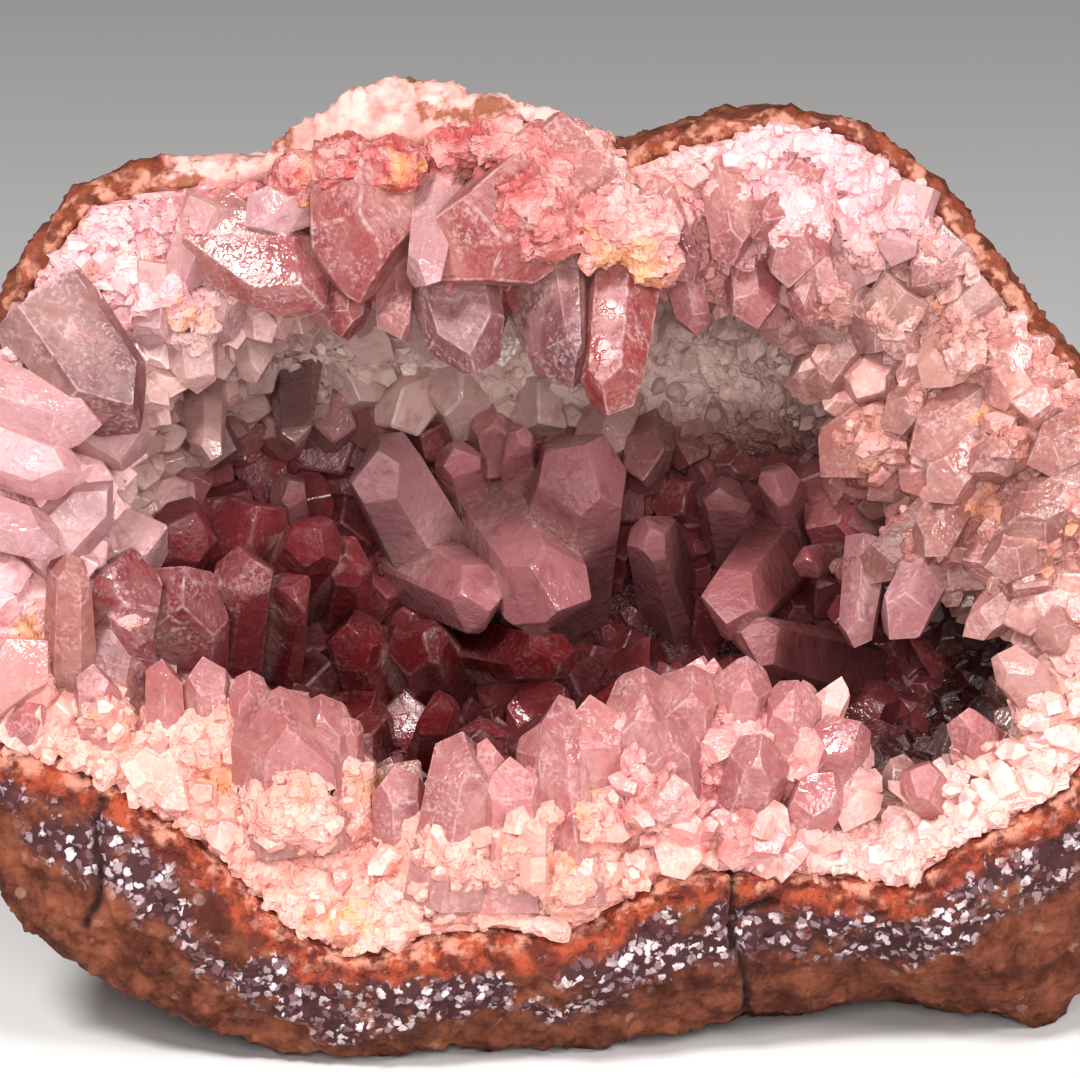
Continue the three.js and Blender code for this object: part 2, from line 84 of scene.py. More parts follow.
def from_mouth(u, v, w):
    """Model points, in metres, from arrays of mouth places."""
    u, v, w = (np.asarray(a, float) for a in (u, v, w))
    spread = 1 + w / VIEW_DISTANCE
    across = VIEW_U + (u - VIEW_U) * spread
    up = VIEW_V + (v - VIEW_V) * spread
    x = across + MOUTH_FOOT[0]
    y = up * math.sin(LEAN) + w * math.cos(LEAN) + MOUTH_FOOT[1]
    z = up * math.cos(LEAN) - w * math.sin(LEAN) + MOUTH_FOOT[2]
    return np.stack([x, y, z], -1) * MM


def to_mouth(points):
    """Mouth places u, v, w from an array of model points."""
    p = np.asarray(points, float) / MM - MOUTH_FOOT
    up = p[..., 1] * math.sin(LEAN) + p[..., 2] * math.cos(LEAN)
    w = p[..., 1] * math.cos(LEAN) - p[..., 2] * math.sin(LEAN)
    spread = 1 + w / VIEW_DISTANCE
    u = VIEW_U + (p[..., 0] - VIEW_U) / spread
    return u, VIEW_V + (up - VIEW_V) / spread, w


INTO_MOUTH = np.array([0, math.cos(LEAN), -math.sin(LEAN)])
CAVITY_MIDDLE = from_mouth(1.3, 56, 22)
print("middle of the hollow, mm:", (CAVITY_MIDDLE / MM).round(1))

# %% [markdown]
# ## Camera
# The piece is seen from 0.8 m away through a long lens, looking a little down on it, so
# that the mouth is square to the line of sight. The view crops the rock at both sides.

# %% Camera
camera_data = bpy.data.cameras.new("camera")
camera_data.sensor_width = 36.0
camera_data.lens = camera_data.sensor_width * VIEW_DISTANCE / VIEW_WIDTH
camera_data.clip_start = 0.05
camera = bpy.data.objects.new("camera", camera_data)
camera.location = from_mouth(VIEW_U, VIEW_V, 0) - VIEW_DISTANCE * MM * INTO_MOUTH
camera.rotation_euler = (math.radians(90) - LEAN, 0, 0)
bpy.context.scene.collection.objects.link(camera)
bpy.context.scene.camera = camera
print("camera at, m:", [round(c, 3) for c in camera.location])

# %% [markdown]
# ## Small helpers
# Every piece starts from a solid of the model or from arrays of points, and ends as one
# mesh that rides on the geode's only body.

# %% Making and changing meshes
def mesh_object(name, points, faces):
    """A new object in the scene, from its points and faces."""
    mesh = bpy.data.meshes.new(name)
    mesh.from_pydata(points, [], faces)
    made = bpy.data.objects.new(name, mesh)
    bpy.context.scene.collection.objects.link(made)
    return made


def copy_of_node(node, name):
    """A copy of a solid of the model, with its split corners joined again."""
    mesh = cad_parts[node].data.copy()
    mesh.name = name
    made = bpy.data.objects.new(name, mesh)
    bpy.context.scene.collection.objects.link(made)
    edit = bmesh.new()
    edit.from_mesh(mesh)
    bmesh.ops.remove_doubles(edit, verts=edit.verts, dist=0.002 * MM)
    edit.to_mesh(mesh)
    edit.free()
    return made


def apply_modifiers(piece):
    """Turns a piece's modifiers into real geometry."""
    graph = bpy.context.evaluated_depsgraph_get()
    mesh = bpy.data.meshes.new_from_object(piece.evaluated_get(graph))
    piece.modifiers.clear()
    old, piece.data = piece.data, mesh
    name = old.name
    bpy.data.meshes.remove(old)
    mesh.name = name


def voxel_remesh(piece, size):
    """Gives a piece one even skin of small square faces."""
    remesh = piece.modifiers.new("remesh", "REMESH")
    remesh.mode = "VOXEL"
    remesh.voxel_size = size
    apply_modifiers(piece)


def values_of(items, name, width):
    """One property of every vertex or face of a mesh, as an array of the given width."""
    flat = np.empty(len(items) * width, np.float32)
    items.foreach_get(name, flat)
    return flat.reshape(-1, width).astype(float)


def move_points(mesh, points):
    """Puts the vertices of a mesh at new places."""
    mesh.vertices.foreach_set("co", points.astype(np.float32).ravel())
    mesh.update()


def shade_smooth(mesh, sharp_angle=None):
    """Smooth shading, with edges sharper than the angle, in degrees, kept crisp."""
    mesh.polygons.foreach_set("use_smooth", [True] * len(mesh.polygons))
    if sharp_angle:
        mesh.set_sharp_from_angle(angle=math.radians(sharp_angle))


def store_values(mesh, name, values, domain="POINT"):
    """Keeps one number for each vertex or face, where a material can read it by name."""
    layer = mesh.attributes.new(name, "FLOAT", domain)
    layer.data.foreach_set("value", np.asarray(values, np.float32))


def store_colours(mesh, name, colours, domain="POINT"):
    """Keeps one colour for each vertex or face."""
    layer = mesh.attributes.new(name, "FLOAT_COLOR", domain)
    rgba = np.ones((len(colours), 4), np.float32)
    rgba[:, :3] = colours
    layer.data.foreach_set("color", rgba.ravel())


def tree_of(*meshes):
    """A search tree over one or more meshes."""
    points, faces = [], []
    for mesh in meshes:
        first = len(points)
        points += [v.co.copy() for v in mesh.vertices]
        faces += [[first + i for i in p.vertices] for p in mesh.polygons]
    return BVHTree.FromPolygons(points, faces)


def finish_piece(piece, material, slot, *nodes):
    """Gives a piece its material and its body, and hides the solids that it stands for. The slot is not
    used.
    """
    piece.data.materials.clear()
    piece.data.materials.append(material)
    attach(piece, "root")
    if nodes:
        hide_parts(*nodes)
    print(piece.name, "faces:", len(piece.data.polygons))


# %% [markdown]
# ## Roughness of stone
# Broken and weathered stone is rough at every scale. Several sizes of smooth random noise
# are added up: wide swells, lumps, and fine grain. A ridged noise has sharp crests where
# the smooth one crosses zero, as broken stone does.

# %% Noise over arrays of points
LACUNARITY = 2.1  # each octave is this much finer than the one before


def swell(points, size, octaves=4, roughness=0.5, offset=0.0):
    """Fractal noise of about -1 to 1 at each point, with lumps of the given size in mm."""
    places = points / (size * MM) + offset
    gain = 1.0 - roughness
    return np.array([noise.fractal(p, gain, LACUNARITY, octaves) for p in map(Vector, places)])


def ridges(points, size, octaves=3, offset=0.0):
    """Sharp crests of height 1, with lumps of the given size in mm between them."""
    return 1 - 2 * np.abs(swell(points, size, octaves, 0.5, offset))


def knobs(points, size):
    """Round lumps, 1 at the middle of each and 0 where two meet."""
    places = points / (size * MM)
    return np.array([1 - min(noise.voronoi(p)[0][0] * 1.4, 1) for p in map(Vector, places)])


def facets(points, size):
    """Flat patches that each lean their own way, as broken quartz has: about -0.5 to 0.5."""
    heights = []
    for p in map(Vector, points / (size * MM)):
        middle = noise.voronoi(p)[1][0]
        heights.append((p - middle).dot(noise.cell_vector(middle * 17) - Vector((0.5, 0.5, 0.5))))
    return np.array(heights)


def smoothstep(low, high, value):
    """0 at low and 1 at high, with soft ends. Low may be the larger of the two."""
    t = np.clip((np.asarray(value, float) - low) / (high - low), 0, 1)
    return t * t * (3 - 2 * t)


samples = np.random.default_rng(2).uniform(-0.05, 0.05, (500, 3))
for kind in (swell, ridges, knobs, facets):
    heights = kind(samples, 5)
    print(kind.__name__, "from", heights.min().round(2), "to", heights.max().round(2))

# %% [markdown]
# ## The side hollow
# At the lower right a dark hollow runs in behind the rim, further back than the solid of
# the model does. The points that lie over it are pushed back. Rays from behind find the
# back of the quartz and of the rock, and the push stops before the rock grows too thin. The
# rays run straight, not along the line of sight, so they meet the rock a few millimetres
# further out, where it is thinner: the limit errs on the safe side.

# %% The side hollow, pushed back
SIDE_HOLLOW = (39.3, 38.5, 10.5, 12.0)  # middle u and v, and half extents
SIDE_HOLLOW_DEPTH = 13.0
HOLLOW_WALL = 5.0  # mm of rock that stay behind the quartz there, as the rays measure it
BEHIND_ALL = 160.0  # mm: a mouth depth well behind the whole piece
lining_tree = tree_of(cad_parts["quartz_lining"].data)
rock_tree = tree_of(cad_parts["host_rock"].data)


def depth_from_behind(tree, u, v):
    """How deep a tree ends behind a place of the mouth, in mm, or None where the ray misses it."""
    hit = tree.ray_cast(Vector(from_mouth(u, v, BEHIND_ALL)), -Vector(INTO_MOUTH))[0]
    return float(to_mouth(np.array(hit))[2]) if hit else None


def deepen_side_hollow(points, chosen):
    """Moves the chosen points back into the side hollow, but never out through the rock."""
    middle_u, middle_v, half_u, half_v = SIDE_HOLLOW
    u, v, w = to_mouth(points)
    far = ((u - middle_u) / half_u) ** 2 + ((v - middle_v) / half_v) ** 2
    push = SIDE_HOLLOW_DEPTH * smoothstep(1.0, 0.35, far) * chosen
    for i in np.flatnonzero(push > 0):
        wall = depth_from_behind(lining_tree, u[i], v[i])
        skin = depth_from_behind(rock_tree, u[i], v[i])
        if wall is not None and skin is not None:
            room = skin - HOLLOW_WALL - max(w[i], wall)
            push[i] = min(push[i], max(room, 0))
    return from_mouth(u, v, w + push)


def distance_to(tree, points):
    """Distance in mm from each point to the nearest point of a tree."""
    return np.array([tree.find_nearest(p)[3] for p in map(Vector, points)]) / MM


for stone, tree in (("quartz", lining_tree), ("rock", rock_tree)):
    depth = depth_from_behind(tree, *SIDE_HOLLOW[:2])
    print("behind the side hollow the", stone, "ends at w, mm:", depth and round(depth, 1))

# %% [markdown]
# ## Host rock
# The rock's broken face is seen below the mouth, and its weathered back only from behind.
# A displacement modifier could roughen it, but would not know where the quartz begins. So
# the solid of the model is remeshed into even small faces, finer where the rock is broken,
# and its points are moved in and out by noise in code, less so close to the quartz. The
# underside stays at or above the ground. Cracks are narrow grooves along a few lines.

# %% Host rock: even faces, finer at the front
ROCK_VOXEL = 1.35 * MM
BROKEN_FACE_DEPTH = 24.0  # mm: the broken face and the rim lie in front of this
FACES_MOUTH = -0.1  # a face whose normal goes further out of the mouth than this
rock = copy_of_node("host_rock", "rock_surface")
voxel_remesh(rock, ROCK_VOXEL)


def refine(piece, chosen, cuts):
    """Cuts up the chosen faces of a piece into smaller ones."""
    edit = bmesh.new()
    edit.from_mesh(piece.data)
    edit.faces.ensure_lookup_table()
    edges = {e for i in np.flatnonzero(chosen) for e in edit.faces[i].edges}
    bmesh.ops.subdivide_edges(edit, edges=list(edges), cuts=cuts, use_grid_fill=True, smooth=0.0)
    edit.to_mesh(piece.data)
    edit.free()


middles = values_of(rock.data.polygons, "center", 3)
facing = values_of(rock.data.polygons, "normal", 3) @ INTO_MOUTH
refine(rock, (to_mouth(middles)[2] < BROKEN_FACE_DEPTH) & (facing < FACES_MOUTH), 2)
print("rock points:", len(rock.data.vertices))

# %% Host rock: relief
CRACKS = [  # each crack runs through these places of the mouth, as u, v
    [(18.2, 21.6), (18.9, 17.0), (18.4, 13.5), (19.6, 9.5), (19.9, 5.0)],
    [(18.6, 14.0), (20.6, 15.6), (22.8, 16.2)],
    [(-44.6, 26.5), (-45.2, 22.5), (-44.4, 18.5), (-46.0, 14.0)],
]
CRACK_WIDTH = 0.45
CRACK_DEPTH = 1.3
SLAB_LEFT, SLAB_RIGHT = -38.0, 8.0  # the pale slab on top lies between these


def distance_to_line(u, v, line):
    """Distance in mm from each mouth place to a line through several places."""
    nearest = np.full(np.shape(u), np.inf)
    for (u0, v0), (u1, v1) in zip(line, line[1:]):
        du, dv = u1 - u0, v1 - v0
        along = np.clip(((u - u0) * du + (v - v0) * dv) / (du**2 + dv**2), 0, 1)
        nearest = np.minimum(nearest, np.hypot(u - u0 - along * du, v - v0 - along * dv))
    return nearest


points = values_of(rock.data.vertices, "co", 3)
normals = values_of(rock.data.vertex_normals, "vector", 3)
u, v, w = to_mouth(points)
from_quartz = distance_to(lining_tree, points)
points = deepen_side_hollow(points, smoothstep(2.5, 1.0, from_quartz))
in_front = smoothstep(26, 20, w)
face = smoothstep(BROKEN_FACE_DEPTH, BROKEN_FACE_DEPTH - 8, w) * smoothstep(0.3, 1.5, from_quartz)
relief = 0.9 * swell(points, 9, 4) + 0.35 * ridges(points, 3.6, 3) + 0.22 * swell(points, 1.1, 3)
relief += 0.25 * face * ridges(points, 1.8, 3, 7.0)
jitter = 0.5 * swell(points, 2.5, 2, 0.5, 3.0)
to_crack = np.min([distance_to_line(u + jitter, v, line) for line in CRACKS], axis=0)
crack = np.exp(-((to_crack / CRACK_WIDTH) ** 2)) * in_front
relief -= CRACK_DEPTH * crack
relief *= smoothstep(0.0, 2.0, from_quartz) * 0.85 + 0.15
points += normals * relief[:, None] * MM
points[:, 2] = np.maximum(points[:, 2], 0)
move_points(rock.data, points)
store_values(rock.data, "from_quartz", from_quartz)
store_values(rock.data, "crack", crack)
store_values(rock.data, "low_face", smoothstep(45, 36, v) * in_front)
ragged = u + 2.5 * swell(points, 5, 4, 0.6, 11.0)
slab = smoothstep(84.5, 87.0, v - 0.35 * (u + 36).clip(0, 20)) * smoothstep(30, 22, w + ragged - u)
slab *= smoothstep(SLAB_LEFT, SLAB_LEFT + 1.5, ragged) * smoothstep(SLAB_RIGHT, SLAB_RIGHT - 3, ragged)
store_values(rock.data, "slab", slab)
shade_smooth(rock.data)
print("rock relief, mm:", relief.min().round(2), "to", relief.max().round(2))

# %% [markdown]
# ## Quartz crust
# The crust is a mass of tiny crystals grown together, so its surface is all small flat
# faces that lean every way. Building each grain would take millions of faces. Cells of
# noise that are each tilted their own way give the same broken look on one skin.

# %% Quartz crust: even faces, finer inside
CRUST_VOXEL = 1.12 * MM
CRUST_SHARP_ANGLE = 38
FACES_OUT = -0.25  # a face whose normal goes further out of the mouth than this is on the rim
crust = copy_of_node("quartz_lining", "quartz_crust")
voxel_remesh(crust, CRUST_VOXEL)


def is_inside(points, normals):
    """True where a surface faces the hollow or the mouth."""
    faces_hollow = np.einsum("ij,ij->i", CAVITY_MIDDLE - points, normals) > 0
    return faces_hollow | (normals @ INTO_MOUTH < FACES_OUT)


middles = values_of(crust.data.polygons, "center", 3)
refine(crust, is_inside(middles, values_of(crust.data.polygons, "normal", 3)), 1)
print("crust points:", len(crust.data.vertices))

# %% Quartz crust: relief
points = values_of(crust.data.vertices, "co", 3)
normals = values_of(crust.data.vertex_normals, "vector", 3)
inside = is_inside(points, normals).astype(float)
points = deepen_side_hollow(points, 1.0)
u, v, w = to_mouth(points)
rim = smoothstep(12, 4, w) * smoothstep(48, 38, v)
top = smoothstep(14, 8, w) * smoothstep(66, 76, v)
relief = 0.5 * swell(points, 6, 3) + (1.4 + 1.2 * top) * facets(points, 4.2) + 0.9 * facets(points, 1.9)
relief += 0.25 * ridges(points, 1.1, 2, 5.0) + 1.1 * rim * knobs(points, 2.8)
relief = relief * inside + 0.3 * (1 - inside)
points += normals * relief[:, None] * MM
move_points(crust.data, points)
store_values(crust.data, "depth", w)
shade_smooth(crust.data, CRUST_SHARP_ANGLE)
print("crust relief, mm:", relief.min().round(2), "to", relief.max().round(2))

# %% [markdown]
# ## Where the colours change
# Small crystals at the rim are pale, with lavender tints on the left and tan ones on the
# right. The hanging points are bright rose, and the deep ones wine red. The darkest tints,
# of the floor, the back, the dark place inside on the left and the hole at the lower right,
# are partly the quartz's own wine red and partly painted shade of the deep hollow. Each area
# has one tint and one range of sizes for its small crystals, and a place takes after the
# areas that it lies nearest to.

# %% Areas of the mouth
PALEST = 0.95  # no tint is lighter than this
AREA_CONTRAST = 1.6  # the larger, the more suddenly one area gives way to the next
TINTS = {
    "rose": (0.37, 0.047, 0.045),
    "rosy": (0.39, 0.10, 0.095),
    "pale": (0.53, 0.17, 0.17),
    "white": (0.77, 0.41, 0.36),
    "cream": (0.70, 0.29, 0.23),
    "lavender": (0.68, 0.34, 0.36),
    "peach": (0.78, 0.36, 0.29),
    "tan": (0.42, 0.150, 0.125),
    "mauve": (0.26, 0.080, 0.092),
    "wine": (0.36, 0.095, 0.10),
    "dusk": (0.46, 0.165, 0.175),
    # claret and bordeaux: wine red, darkened with painted shade of the deep hollow
    "claret": (0.23, 0.028, 0.034),
    "bordeaux": (0.19, 0.034, 0.038),
    "mist": (0.58, 0.26, 0.28),
    "umber": (0.31, 0.115, 0.095),
    "blush": (0.32, 0.038, 0.034),
    # plum: purple red, partly darkened with painted shade, for a point that lies in shadow
    "plum": (0.16, 0.030, 0.036),
    "mud": (0.17, 0.07, 0.058),
    # shade, garnet and deep: wine red, darkened with painted shade of the deep hollow
    "shade": (0.16, 0.040, 0.040),
    "garnet": (0.16, 0.012, 0.014),
    "deep": (0.085, 0.006, 0.006),
    # brown: almost black, painted shade for the dark hole at the lower right
    "brown": (0.030, 0.004, 0.003),
    "grey": (0.56, 0.33, 0.30),
    "ledge": (0.92, 0.70, 0.62),
}
TINTS = {name: np.array(tint) for name, tint in TINTS.items()}
# Middle u, v and w, half extents, least and greatest width, tint, and how much is crystals.
Area = namedtuple("Area", "name u v w half_u half_v half_w least most tint crystals")
AREAS = [Area(*row) for row in (
    ("rim front", 14, 34, 2, 20, 8, 10, 1.4, 4.2, "pale", 0.5),
    ("rim front crust", -8, 20, 0, 16, 6, 8, 1.0, 2.2, "cream", 0.08),
    ("rim left", -38, 34, 0, 18, 8, 8, 1.4, 4.2, "cream", 0.12),
    ("rim right", 42, 32, 2, 14, 9, 10, 1.2, 3.0, "white", 0.06),
    ("right wall", 42, 58, 6, 16, 16, 12, 2.4, 5.5, "tan", 0.45),
    ("right wall top", 35, 76, 7, 9, 7, 10, 1.8, 4.5, "umber", 0.3),
    ("upper right", 28, 88, 8, 22, 8, 10, 1.2, 3.0, "lavender", 0.04),
    ("ceiling", -14, 86, 8, 26, 7, 10, 2.0, 5.0, "rose", 0.06),
    ("hanging base", 8, 84, 9, 8, 8, 8, 1.0, 2.4, "cream", 0.12),
    ("upper left", -44, 82, 8, 12, 9, 10, 1.2, 3.0, "lavender", 0.04),
    ("left wall", -52, 58, 4, 10, 16, 10, 2.0, 5.0, "lavender", 0.3),
    ("inner left", -36, 66, 18, 12, 12, 12, 1.6, 4.0, "grey", 0.7),
    # back and floor: their dark tints are partly painted shade of the deep hollow
    ("back", 0, 52, 42, 34, 18, 14, 2.8, 7.0, "bordeaux", 1.0),
    ("floor", -10, 38, 22, 34, 12, 14, 2.8, 8.0, "deep", 1.0),
    ("shelf", 4, 68.5, 34, 26, 4.6, 12, 0.8, 2.4, "ledge", 0.06),
    ("shelf right", 18, 64, 32, 12, 8, 13, 0.8, 2.4, "mud", 0.06),
    # inner dark and dark hole: their tints are painted shade
    ("inner dark", -27, 63, 24, 8, 7, 10, 2.0, 6.0, "shade", 0.8),
    ("dark hole", 37, 39, 17, 11, 12, 13, 1.6, 3.8, "brown", 0.8),
)]


def nearness(u, v, w):
    """How far each mouth place lies from each area, where 1 is the area's edge."""
    return np.stack([
        ((u - a.u) / a.half_u) ** 2 + ((v - a.v) / a.half_v) ** 2 + ((w - a.w) / a.half_w) ** 2
        for a in AREAS
    ])


def area_tint(u, v, w):
    """The tint of each mouth place, blended from the areas around it."""
    far = nearness(u, v, w)
    weight = np.exp(-AREA_CONTRAST * (far - far.min(0)))
    weight /= weight.sum(0)
    return np.einsum("an,ac->nc", weight, np.array([TINTS[a.tint] for a in AREAS]))


def area_share(places):
    """How much of the crust at each model point is covered with separate crystals."""
    return np.array([a.crystals for a in AREAS])[nearness(*to_mouth(places)).argmin(0)]


# between deep crystals the crust is darker, because little light comes back from there
between = 1 - 0.6 * smoothstep(14, 26, w) * smoothstep(65, 59, v)
store_colours(crust.data, "tint", area_tint(u, v, w) * between[:, None])
print("areas:", len(AREAS))

# %% [markdown]
# ## The shape of a quartz point
# Quartz grows as a six-sided prism that ends in a point of three large and three small
# faces. Natural ones are lopsided. Each face is a flat plane at its own distance from the
# axis, so a point is cut by planes: every three planes meet in a corner, and the corners
# that lie inside all the other planes make the shape. This is how crystals really grow, and
# gives better faces than bending a cone.

# %% One point, cut by planes
POINT_ANGLE = math.radians(51.8)  # between a point face's normal and the crystal's axis
SIDE_SPREAD = (0.82, 1.14)  # how far a side lies from the axis, beside half the width
SIDE_TAPER = (1, 5)  # degrees that a side leans in
SMALL_FACE_BACK = (0.03, 0.15)  # how much less a small point face cuts off, beside the width


def cut_corners(normals, distances):
    """The corners of the shape that lies behind every plane."""
    triples = np.array(list(combinations(range(len(normals)), 3)))
    matrices = normals[triples]
    solid = np.abs(np.linalg.det(matrices)) > 1e-4
    corners = np.linalg.solve(matrices[solid], distances[triples[solid]][..., None])[..., 0]
    return corners[(corners @ normals.T <= distances + 1e-6).all(1)]


def point_planes(length, width, rng, three_faced, slant=0.1):
    """Planes of a crystal that stands on its root at the origin, and points along +Z.

    Every second point face is a large one. A three-faced crystal has only those."""
    normals, distances = [(0, 0, -1)], [0.0]
    start = rng.uniform(0, math.tau)
    for i in range(6):
        angle = start + i * math.tau / 6
        across = np.array([math.cos(angle), math.sin(angle), 0])
        taper = math.radians(rng.uniform(*SIDE_TAPER))
        prism = across * math.cos(taper) + np.array([0, 0, math.sin(taper)])
        normals.append(prism)
        distances.append(0.5 * width * rng.uniform(*SIDE_SPREAD) * math.cos(taper))
        large = i % 2 == 0
        if large or not three_faced:
            normals.append(across * math.sin(POINT_ANGLE) + np.array([0, 0, math.cos(POINT_ANGLE)]))
            back = -rng.uniform(0, slant) if large else rng.uniform(*SMALL_FACE_BACK)
            distances.append(length * math.cos(POINT_ANGLE) + back * width)
    return np.array(normals), np.array(distances)


def crystal_shape(length, width, rng, three_faced=False, bevel=0.03, segments=1):
    """Points and triangles of one crystal at the origin, and which of them are worn edges."""
    corners = cut_corners(*point_planes(length, width, rng, three_faced))
    edit = bmesh.new()
    for corner in corners:
        edit.verts.new(corner)
    bmesh.ops.remove_doubles(edit, verts=edit.verts, dist=0.01 * width)
    bmesh.ops.convex_hull(edit, input=edit.verts)
    bmesh.ops.dissolve_limit(edit, angle_limit=math.radians(1.5), verts=edit.verts, edges=edit.edges)
    worn = edit.faces.layers.int.new("worn")
    if bevel:
        made = bmesh.ops.bevel(edit, geom=edit.edges[:] + edit.verts[:], offset=bevel * width,
                               segments=segments, profile=0.6, affect="EDGES", clamp_overlap=True)
        for face in made["faces"]:
            face[worn] = 1
    bmesh.ops.triangulate(edit, faces=edit.faces)
    bmesh.ops.recalc_face_normals(edit, faces=edit.faces)
    edit.verts.index_update()
    points = np.array([v.co for v in edit.verts])
    faces = np.array([[v.index for v in f.verts] for f in edit.faces])
    edges = np.array([float(f[worn]) for f in edit.faces])
    edit.free()
    return points, faces, edges


test_points, test_faces, test_edges = crystal_shape(2.0, 1.0, np.random.default_rng(1))
print("one crystal:", len(test_points), "points,", len(test_faces), "triangles,",
      int(test_edges.sum()), "on its edges")

# %% [markdown]
# ## Large points
# The large points stand where the model has them: each row gives the place of the tip, the
# place of the root in the mouth, and the width. The root's depth is where a line straight
# into the mouth meets the crust. Points of one zone that overlap are joined into one
# solid, as they are in the real piece: they could simply be left to cross, but a wall
# inside clear quartz would show.

